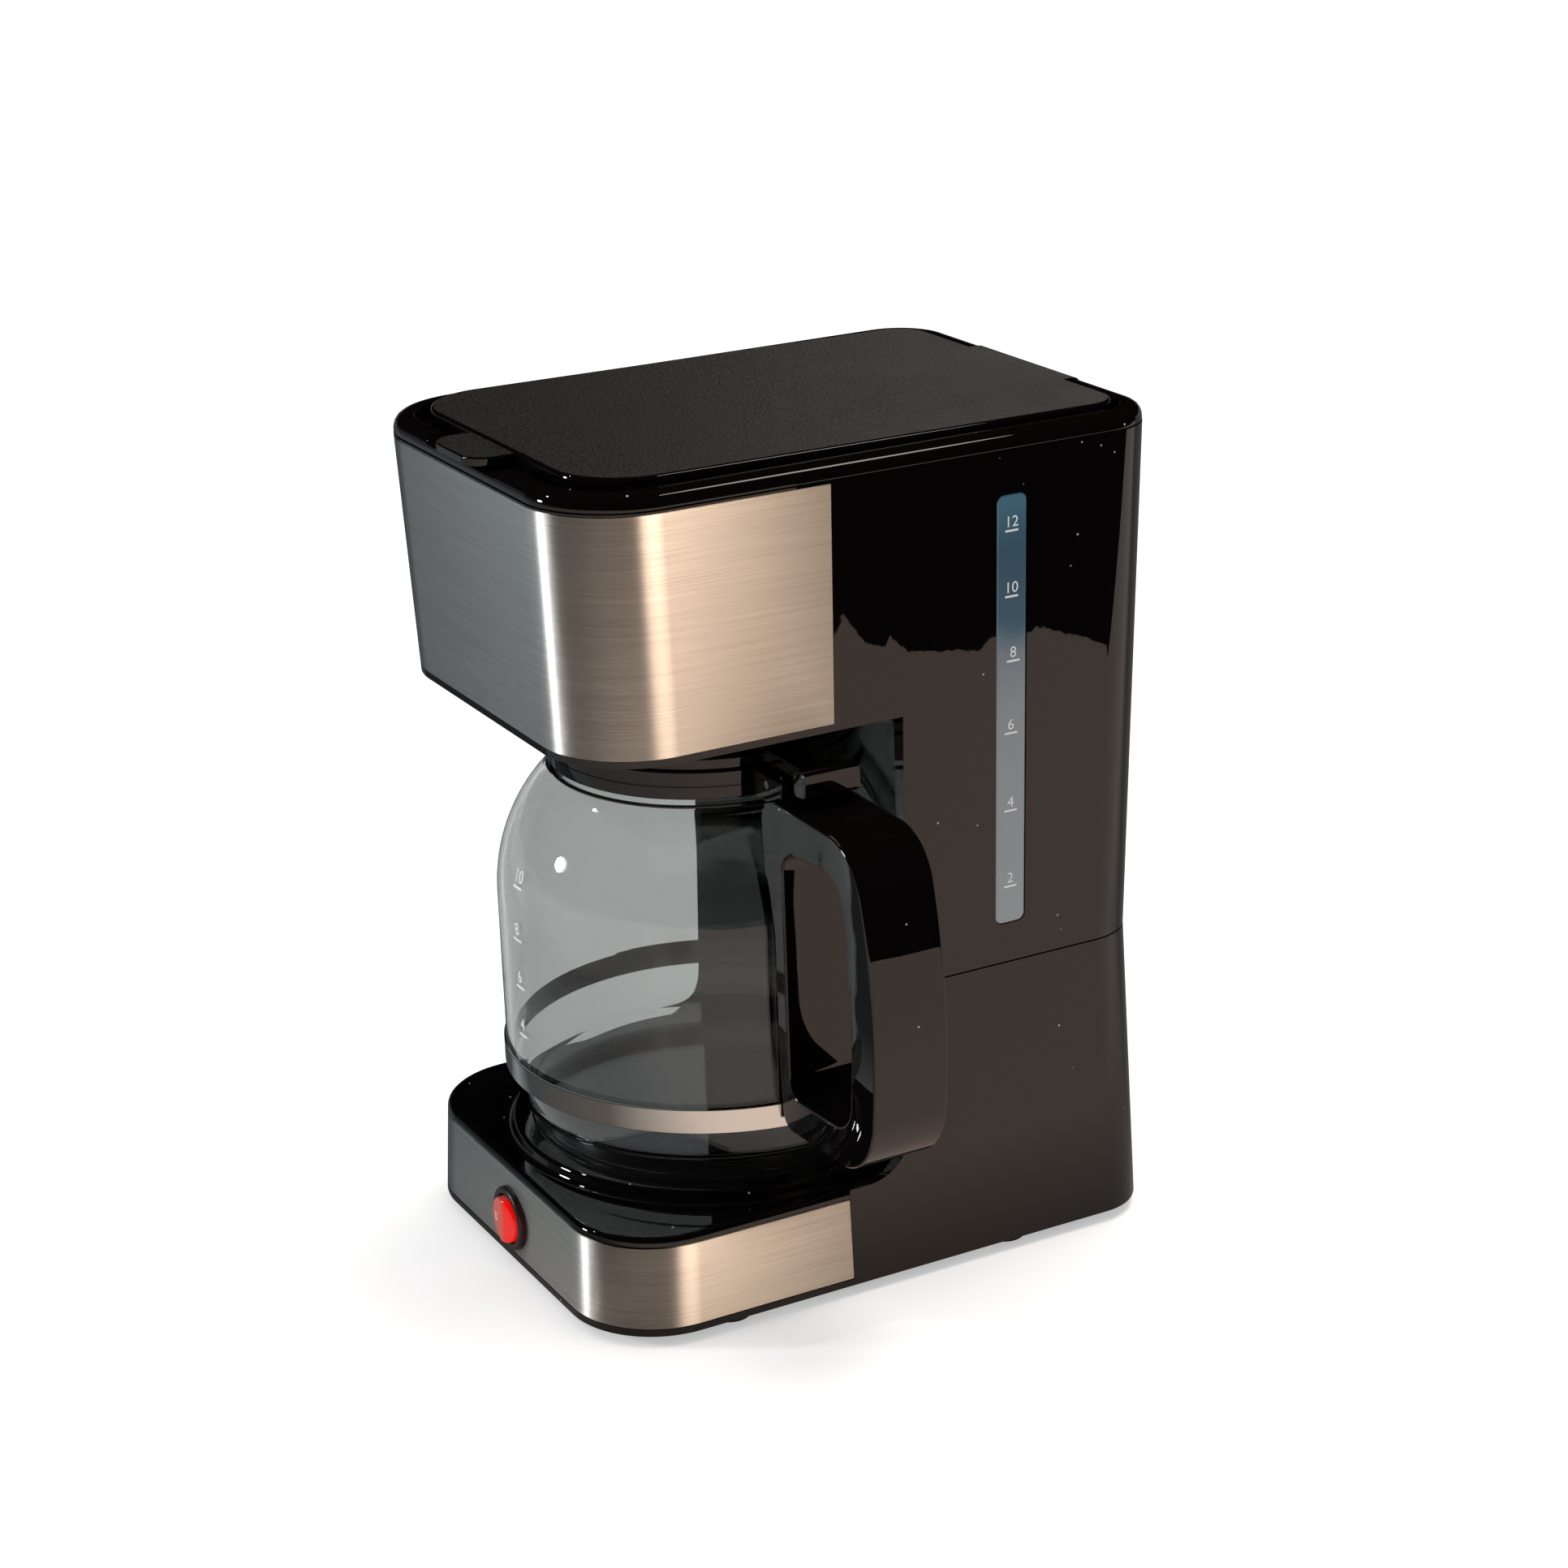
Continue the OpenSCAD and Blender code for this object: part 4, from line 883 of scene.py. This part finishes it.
def makeCollar(s=collarSet):
    o = s["outer"]
    collar = ring("collar", [(s["bore"], s["low"]), (o - 0.7, s["low"]), (o - 0.2, s["low"] + 0.25),
        (o, s["low"] + 0.7), (o, 190.2), (o - 0.25, 190.4), (o - 0.25, 190.7), (o, 190.9), (o, s["high"] - 0.7),
        (o - 0.3, s["high"] - 0.1), (o - 0.8, s["high"]), (s["inner"] + 0.4, s["high"]),
        (s["inner"], s["high"] - 0.4), (s["inner"], s["lap"]), (s["bore"], s["lap"])])
    ear = block("ear", (56, carafeY - s["earHalf"], s["low"]), (s["earEnd"], carafeY + s["earHalf"], 195.6))
    carve(collar, "UNION", soften(ear, 0.7, 3))
    carve(collar, "DIFFERENCE",
        block("slot", (57.2, carafeY - s["arm"], s["low"] + 1.2), (99, carafeY + s["arm"], 210)), pinHole())
    return finishPiece(collar, "carafeCollarMoulding", "glossAbs", "carafe", "gloss_black", "carafe_collar",
        sharp=42)


handleBandSet = dict(profile=[(77.65, 69.15), (77.8, 69), (78.2, 69), (78.35, 69.2), (78.35, 77.8), (78.2, 78),
    (77.8, 78), (77.65, 77.85)], earHalf=6, earX=(78, 91.9), earZ=(73.4, 74.6), hole=1.6)


def makeHandleBand(s=handleBandSet):
    band = ring("band", s["profile"], steps=160)
    (x0, x1), (z0, z1), half = s["earX"], s["earZ"], s["earHalf"]
    carve(band, "UNION", soften(block("ear", (x0, carafeY - half, z0), (x1, carafeY + half, z1)), 0.3))
    carve(band, "DIFFERENCE", screwHole(60, 90, s["hole"]))
    return finishPiece(band, "carafeBandStrip", "bright", "carafe", "brushed_steel", "handle_band")


handleSet = dict(half=14.3, edge=0.9, steps=360, bow=(-68, 121, 212),
    outer=[(79, 182, 9.5), (116.18, 169.66, 21.5), (116.49, 97.37, 26), (84, 76, 6)],
    inner=[(92, 167, 8.5), (113, 165.8, 11.5), (117, 135, 12), (114, 98, 13), (92, 92, 8.5)],
    clear=[(0, 50), (78.5, 50), (78.5, 141), (75.5, 157), (69.5, 173), (69.5, 240), (0, 240)],
    notch=((60, -9.1, 185.5), (75.1, 9.1, 206)), slot=((70, -6.1, 73.3), (92.6, 6.1, 74.7)))


# A loop round circles like a taut belt; grow moves it out or in, and bow bulges one side of it
def beltLoop(circles, grow, y, steps, bow=None):
    loop = []
    for a in around(steps):
        n = (cos(a), sin(a))
        x, z, r = max(circles, key=lambda c: c[0] * n[0] + c[1] * n[1] + c[2])
        if bow and n[0] > 0 and -0.127 < n[1] < 0.255:
            x, z, r = bow
        loop.append((x + (r + grow) * n[0], y, z + (r + grow) * n[1]))
    return loop


def makeHandle(s=handleSet):
    e, half, steps = s["edge"], s["half"], s["steps"]
    bend = [(e * (1 - sin(radians(a))), e * (1 - cos(radians(a)))) for a in range(0, 91, 18)]
    outside = dict(circles=s["outer"], bow=s["bow"])
    loops = []
    for belt, sign, side in ((outside, -1, -1), (dict(circles=s["inner"]), 1, 1)):
        for rows, way in ((bend, 1), (reversed(bend), -1)):
            loops += [beltLoop(grow=sign * inset, y=side * way * (half - back) + carafeY, steps=steps, **belt)
                for inset, back in rows]
    handle = skin("handle", loops, joined=True)
    cuts = [block(cut, *((x, carafeY + y, z) for x, y, z in s[cut])) for cut in ("notch", "slot")]
    carve(handle, "DIFFERENCE", lathe("clear", s["clear"], steps=160), *cuts, screwHole(60, 72.2, 3, 32),
        screwHole(60, 81, 1.5))
    return finishPiece(handle, "carafeHandleMoulding", "glossAbs", "carafe", "gloss_black", "carafe_handle",
        sharp=40)


jugLidSet = dict(dome=55.8, low=196.3, edge=200.3, top=206.5, plug=(50.6, 49.4), arm=5.2, thumb=(95, 10.9),
    dripReach=15)


def makeJugLid(s=jugLidSet):
    rise = s["top"] - s["edge"]
    curve = (s["dome"] ** 2 + rise ** 2) / 2 / rise
    spread = degrees(asin(s["dome"] / curve))
    dome = [(max(r, 0), z) for r, z in arc(0, s["top"] - curve, curve, 90 - spread, 90, 16)]
    outer, inner = s["plug"]
    lid = lathe("jugLid", [(0, s["low"]), (inner, s["low"]), (inner, 192.2), (inner + 0.3, 192), (outer - 0.3, 192),
        (outer, 192.3), (outer, s["low"]), (s["dome"] - 0.4, s["low"]), (s["dome"], s["low"] + 0.4),
        (s["dome"], s["edge"] - 0.5), (s["dome"] - 0.25, s["edge"] + 0.1)] + dome[1:], steps=144)
    half, (x, z) = s["arm"], collarSet["pin"]
    arm = prism("arm", [(46, 196.7), (59.8, 196.7), (59.8, 192), (68.2, 192), (68.2, 196.6), (89, 197.4),
        (89, 202.6), (46, 202)], (carafeY - half, carafeY + half), "Y")
    t, wide = s["thumb"]
    tab = prism("tab", [(t - 7.5, 196.2), (t - 5.5, 195.4), (t - 0.6, 196), (t, 196.8), (t, 204.8),
        (t - 0.8, 205.7), (t - 6, 205.2), (t - 7.5, 203.8)], (carafeY - wide, carafeY + wide), "Y")
    eye = rod("eye", (x, carafeY - half, z), (x, carafeY + half, z), 4.2, 32)
    carve(lid, "UNION", soften(arm, 0.7, 3), eye, soften(tab, 0.5, 3))
    carve(lid, "DIFFERENCE", pinHole())
    r = s["dripReach"]
    carve(lid, "DIFFERENCE", *(drum("drip", 2, 180, 220, (r * cos(radians(a)),
        carafeY + r * sin(radians(a))), 24) for a in range(0, 360, 60)))
    return finishPiece(lid, "carafeLidMoulding", "glossAbs", "carafe", "gloss_black", "carafe_lid",
        "carafe_lid_skirt", sharp=42)


# Starts a node tree for a piece that repeats, with its sizes as named inputs
def startTree(name, sizes):
    tree = bpy.data.node_groups.new(name, "GeometryNodeTree")
    for key in ["Geometry"] + list(sizes):
        kind = "Geometry" if key == "Geometry" else "Int" if isinstance(sizes[key], int) else "Float"
        tree.interface.new_socket(key, in_out="INPUT", socket_type="NodeSocket" + kind)
    tree.interface.new_socket("Geometry", in_out="OUTPUT", socket_type="NodeSocketGeometry")
    add = partial(addNode, tree)
    return add, add("NodeGroupInput").outputs


# Ends the tree with its last node, runs it on the object with its named sizes and returns the plain mesh
def runTree(thing, made, material, sizes):
    tree = made.id_data
    whole = addNode(tree, "RealizeInstances", made)
    painted = addNode(tree, "SetMaterial", whole, Material=finish[material])
    addNode(tree, "NodeGroupOutput", painted)
    step = thing.modifiers.new("grow", "NODES")
    step.node_group = tree
    for item in tree.interface.items_tree:
        if item.in_out == "INPUT" and item.name in sizes:
            step[item.identifier] = sizes[item.name]
    return settled(thing)


screwSet = dict(spots=[(79.2, -24), (79.2, 58), (30, 124.6)], seat=4.5,
    sizes=dict(headRadius=3.4, headHeight=1.6, chamfer=0.6, shankRadius=1.5, shankLength=11.9, crossWidth=0.8,
        crossLength=3.8, crossDepth=1.0))


def makeScrews(s=screwSet):
    add, size = startTree("crossHeadScrews", s["sizes"])
    points = meshObject("screws", [(side * x, y, s["seat"]) for x, y in s["spots"] for side in (-1, 1)], [])
    narrow = add("Math", (size["headRadius"], size["chamfer"]), operation="SUBTRACT")
    head = add("MeshCone", {"Radius Bottom": narrow, "Radius Top": size["headRadius"],
        "Depth": size["headHeight"]}, Vertices=40)
    drop = add("Math", size["headHeight"], operation="MULTIPLY", in1=-1.0)
    down = add("CombineXYZ", {"Z": drop})
    made = add("Transform", {0: head, "Translation": down})
    deep = add("Math", size["crossDepth"], operation="MULTIPLY", in1=2.0)
    for first, second in (("crossLength", "crossWidth"), ("crossWidth", "crossLength")):
        extent = add("CombineXYZ", (size[first], size[second], deep))
        cube = add("MeshCube", extent)
        slot = add("Transform", {0: cube, "Translation": down})
        made = add("MeshBoolean", {"Mesh 1": made, "Mesh 2": slot}, operation="DIFFERENCE")
    shank = add("MeshCylinder", {"Radius": size["shankRadius"], "Depth": size["shankLength"]}, Vertices=24)
    half = add("Math", size["shankLength"], operation="MULTIPLY", in1=0.5)
    up = add("CombineXYZ", {"Z": half})
    placedShank = add("Transform", {0: shank, "Translation": up})
    screw = add("JoinGeometry", made)
    feed(screw, Geometry=placedShank)
    spread = add("InstanceOnPoints", {0: size["Geometry"], "Instance": screw})
    screws = runTree(points, spread, "zinc", s["sizes"])
    return finishPiece(screws, "bottomScrews", "zinc", "housing", "zinc_steel", "bottom_screws", weighted=False)


springSet = dict(foot=224.1, sizes=dict(turns=4.0, coilRadius=4.6, wireRadius=0.5, height=7.35))


def makeSpring(s=springSet):
    add, size = startTree("roundWireSpring", s["sizes"])
    base = meshObject("spring", [(0, 0, 0)], [])
    path = add("CurveSpiral", {"Rotations": size["turns"], "Start Radius": size["coilRadius"],
        "End Radius": size["coilRadius"], "Height": size["height"]}, Resolution=32)
    wire = add("CurvePrimitiveCircle", {"Radius": size["wireRadius"]}, Resolution=12)
    coil = add("CurveToMesh", (path, wire), Fill_Caps=True)
    placed = add("Transform", coil, Translation=(*carafeCentre, s["foot"]))
    spring = runTree(base, placed, "zinc", s["sizes"])
    return finishPiece(spring, "valveSpringCoil", "zinc", "basket", "zinc_steel", "valve_spring", weighted=False)


basketSet = dict(profile=[(11, 224), (35.7, 224), (36.1, 224.3), (59.7, 284), (64.7, 284), (65, 284.3), (65, 286.3),
    (64.7, 286.6), (57.7, 286.6), (57.3, 286.3), (34.4, 226.8), (33.8, 226.2), (11, 226.2)], ribs=(45.6, 248, 21),
    sizes=dict(count=24, length=38.0, width=1.2, depth=1.8))


def makeBasket(s=basketSet):
    add, size = startTree("basketRibs", s["sizes"])
    basket = ring("basket", s["profile"])
    extent = add("CombineXYZ", (size["depth"], size["width"], size["length"]))
    bar = add("MeshCube", extent)
    reach, middle, lean = s["ribs"]
    leaned = add("Transform", bar, Rotation=(0, radians(lean), 0), Translation=(reach, 0, middle))
    spots = add("Points", {"Count": size["count"]}, Position=(*carafeCentre, 0))
    number = add("InputIndex")
    share = add("Math", (number, size["count"]), operation="DIVIDE")
    angle = add("Math", share, operation="MULTIPLY", in1=2 * pi)
    turn = add("CombineXYZ", {"Z": angle})
    ribs = add("InstanceOnPoints", {"Points": spots, "Instance": leaned, "Rotation": turn})
    whole = add("JoinGeometry", size["Geometry"])
    feed(whole, Geometry=ribs)
    basket = runTree(basket, whole, "satinAbs", s["sizes"])
    return finishPiece(basket, "brewBasketRibbed", "satinAbs", "basket", "satin_black", "filter_basket")


# The pieces, from the base up
makeLowerHousing()
makeDeck()
for name, band in bandSet["bands"].items():
    makeBand(name, *band)
makeFeet()
makeHotPlate()
makeGland()
makeSwitchHousing()
makeRocker()
makeRockerMarks()
print("base and switch made")
makeUpperHousing()
makeWindowPiece()
makeLevelMarks()
makeRim()
makeLid()
print("tower, rim and lid made")
makeCarafeGlass()
makeJugMarks()
makeNeckRing()
makeCollar()
makeHandleBand()
makeHandle()
makeJugLid()
print("carafe made")
makeScrews()
makeSpring()
makeBasket()
print("screws, spring and brew basket made")


# CAD nodes that keep their shape, by finish
dressed = {"satinAbs": ["bottom_cover", "basket_holder", "lid_liner", "valve_cage", "basket_spout"],
    "silicone": ["plate_gasket", "inlet_hose", "outlet_hose", "valve_seal"],
    "alloy": ["heating_element"], "zinc": ["element_bracket", "bracket_nut", "lid_hinge_rod", "band_screw",
    "carafe_lid_pin"], "phenolic": ["thermostat"], "sleeve": ["thermal_fuses"],
    "white": ["check_valve", "riser_pipe", "drip_valve"], "redRubber": ["check_ball"], "milky": ["water_tank"],
    "mesh": ["mesh_filter"]}
for key, nodes in dressed.items():
    for node in nodes:
        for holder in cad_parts[node].material_slots:
            holder.material = finish[key]


studio = dict(floorHalf=6, floorColour="#efeeed", world=0.5, floorLift=0.42, whiteFrom=0.9, whiteBy=2.6,
    groundGlow=0.002, roomRadius=3.2, roomRise=(0.15, 0.75), roomSide=(-0.5, 1.4), roomGlow=0.5)

# The cloth and the room as polished faces see them, all painted reflection: the cloth's far edge by row x and y in
# metres, the colours by direction in degrees, which paint the light and shade on cloth and room each way, and the
# painted shadow of the machine on the cloth near the base and in front of it
cloth = dict(edge=[(2.6, -3), (1.9, 0.2), (1.24, 0.53), (1.17, 0.565), (0.61, 0.29), (0.669, 0.335), (0.626, 0.325),
    (0.615, 0.331), (0.63, 0.343), (0.604, 0.337), (0.594, 0.356), (0.586, 0.374), (0.594, 0.386), (0.592, 0.411),
    (0.599, 0.418), (0.571, 0.43), (0.522, 0.45), (0.5, 0.9), (0.5, 3)],
    colours=[(-180, "#e4e0dc"), (-112, "#a9aeb2"), (-80, "#868f94"), (-40, "#8d9598"), (-5, "#b9b2aa"),
        (60, "#f0dccd"), (110, "#f7dccb"), (180, "#ece2d8")],
    room=[(-180, "#d8d4d0"), (-100, "#a4aaae"), (-60, "#868f94"), (-20, "#5c5a56"), (10, "#3a332d"),
        (180, "#3c342d")],
    near=(0.02, 0.16, 0.25),
    front=(-0.4, -0.1, [(0.0, 1), (0.05, 0.2), (0.72, 0.2), (0.85, 1), (0.87, 1), (1.0, 0)]))


# One on the rays of the camera, of reflections and through glass, else nought
def rayNode(add):
    ray = add("LightPath").outputs
    seen = add("Math", (ray["Is Camera Ray"], ray["Is Glossy Ray"]), operation="MAXIMUM")
    return add("Math", (seen, ray["Is Transmission Ray"]), operation="MAXIMUM")


def square(name, h, z):
    return meshObject(name, [(-h, -h, z), (h, -h, z), (h, h, z), (-h, h, z)], [(0, 1, 2, 3)])


def makeStudio(s=studio):
    world = bpy.data.worlds.new("studio")
    bpy.context.scene.world = world
    world.use_nodes = True
    add = partial(addNode, world.node_tree)
    level = add("MapRange", rayNode(add), in3=s["world"], in4=1.0)
    sky = world.node_tree.nodes["Background"]
    feed(sky, Strength=level)
    sky.inputs["Color"].default_value = (1, 1, 1, 1)
    material, add, shader, place = startMaterial("paperFloor", s["floorColour"], 0.9, Specular_IOR_Level=0.1,
        Emission_Color=(1, 1, 1, 1))
    away = add("VectorMath", place, operation="LENGTH").outputs["Value"]
    white = add("MapRange", away, in1=s["whiteFrom"], in2=s["whiteBy"], in3=s["floorLift"], in4=1.0)
    lift = add("Math", (rayNode(add), white), operation="MULTIPLY")
    feed(shader, Emission_Strength=lift)
    floor = square("floor", s["floorHalf"], 0)
    floor.data.materials.append(material)


def cardMaterial(name):
    material = bpy.data.materials.new(name)
    material.use_nodes = True
    material.cycles.emission_sampling = "NONE"
    tree = material.node_tree
    tree.nodes.remove(tree.nodes["Principled BSDF"])
    add = partial(addNode, tree)
    glow = add("Emission")
    feed(tree.nodes["Material Output"], Surface=glow)
    place = add("SeparateXYZ", add("TexCoord").outputs["Object"]).outputs
    return material, add, glow, place


# Colours by the direction from the machine, in degrees from the front towards the handle's side
def aroundColour(add, place, colours):
    back = add("Math", place["Y"], operation="MULTIPLY", in1=-1.0)
    turn = add("Math", (place["X"], back), operation="ARCTAN2")
    share = add("MapRange", turn, in1=-pi, in2=pi)
    stops = [((angle + 180) / 360, linearColour(colour)) for angle, colour in colours]
    return add("ValToRGB", share, stops)


# Makes the piece a card that only polished faces see
def standCard(card, material):
    card.data.materials.append(material)
    for flag in ("camera", "diffuse", "transmission", "shadow", "volume_scatter"):
        setattr(card, "visible_" + flag, False)


def makeClothCard(s=studio, c=cloth):
    material, add, glow, place = cardMaterial("clothGlow")
    h = s["floorHalf"] * 0.5
    outline = [Vector((x, y)) for x, y in [(-h, -h)] + c["edge"] + [(-h, h)]]
    points, _, faces = delaunay_2d_cdt(outline, [], [list(range(len(outline)))], 1, 1e-5)[:3]
    # Painted shadow of the machine on the cloth: the glow is turned down near the base and in a band in front of it
    x0, x1, shadowLevel = c["near"]
    near = add("MapRange", place["X"], in1=x0, in2=x1, in3=shadowLevel, in4=1.0)
    y0, y1, strengths = c["front"]
    ahead = add("MapRange", place["Y"], in1=y0, in2=y1)
    front = add("ValToRGB", ahead, strengths)
    lit = add("Math", (near, front), operation="MAXIMUM")
    feed(glow, Color=aroundColour(add, place, c["colours"]), Strength=lit)
    standCard(meshObject("clothCard", [(p.x, p.y, 0.001) for p in points], faces), material)


# The ground beyond the cloth as a painted reflection of the unlit floor, nearly black to polished faces
def makeGroundCard(s=studio):
    material, _, glow, _ = cardMaterial("darkGround")
    glow.inputs["Color"].default_value = (s["groundGlow"], s["groundGlow"], s["groundGlow"], 1)
    standCard(square("groundCard", s["floorHalf"], 0.0005), material)


# The room as a painted reflection: a dome that fades upwards and towards the handle's side
def makeDome(s=studio, room=cloth["room"]):
    material, add, glow, place = cardMaterial("roomDome")
    (z0, z1), (x0, x1) = s["roomRise"], s["roomSide"]
    rise = add("MapRange", place["Z"], in1=z0, in2=z1, in3=s["roomGlow"], in4=0.0,
        interpolation_type="SMOOTHSTEP")
    side = add("MapRange", place["X"], in1=x0, in2=x1, in3=1.0, in4=0.0)
    level = add("Math", (rise, side), operation="MULTIPLY")
    feed(glow, Color=aroundColour(add, place, room), Strength=level)
    r = s["roomRadius"]
    rounds = [[(r * cos(e) * sin(a), -r * cos(e) * cos(a), r * sin(e)) for a in around(48)]
        for e in (radians(-6 + 10.6 * k) for k in range(10))]
    standCard(skin("dome", rounds, capped=False), material)


# An area lamp by direction and distance; with pieces named it lights only them
def makeLamp(name, azimuth, elevation, distance, size, power, colour, mirrored=True, pieces=(),
        target=(-0.03, -0.03, 0.16)):
    lamp = bpy.data.lights.new(name, "AREA")
    lamp.shape = "DISK"
    lamp.size = size
    lamp.energy = power
    lamp.color = linearColour(colour)[:3]
    thing = addObject(name, lamp)
    a, e = radians(azimuth), radians(elevation)
    away = Vector((sin(a) * cos(e), -cos(a) * cos(e), sin(e)))
    turn = away.to_track_quat("Z", "Y").to_matrix().to_4x4()
    thing.matrix_world = Matrix.Translation(Vector(target) + away * distance) @ turn
    thing.visible_camera = False
    thing.visible_glossy = mirrored
    if pieces:
        lit = bpy.data.collections.new(name + "Pieces")
        for piece in pieces:
            lit.objects.link(bpy.data.objects[piece])
        thing.light_linking.receiver_collection = lit


makeStudio()
makeClothCard()
makeGroundCard()
makeDome()
steelPieces = ("headBandStrip", "baseBandStrip")
makeLamp("keyLamp", -27, 12, 1.5, 0.18, 8, "#f2f8ff")
makeLamp("spotLamp", -34, 42, 1.7, 0.06, 2, "#ffffff")
makeLamp("overheadLamp", 175, 74, 2.0, 1.2, 26, "#fff6ee", mirrored=False)
makeLamp("warmSheen", 102, 30, 1.8, 0.86, 22, "#ffe4cc", pieces=steelPieces)
makeLamp("coolSheen", -58, 30, 1.8, 0.9, 4, "#dceaf2", pieces=steelPieces)
makeLamp("lidSheen", -128, 23, 2.0, 0.7, 0.55, "#fff8f0", pieces=("lidPanel",))
makeLamp("rockerGlow", 60, 10, 0.03, 0.012, 0.006, "#ff1204", pieces=("baseBandStrip", "switchBezel"),
    target=(-0.024, -0.126, 0.02))
makeLamp("rimSheen", 141, 56, 1.8, 0.3, 1.6, "#f4f0ea", pieces=("topRimMoulding", "lidPanel"))
bpy.context.scene.view_settings.view_transform = "Standard"
print("studio made")
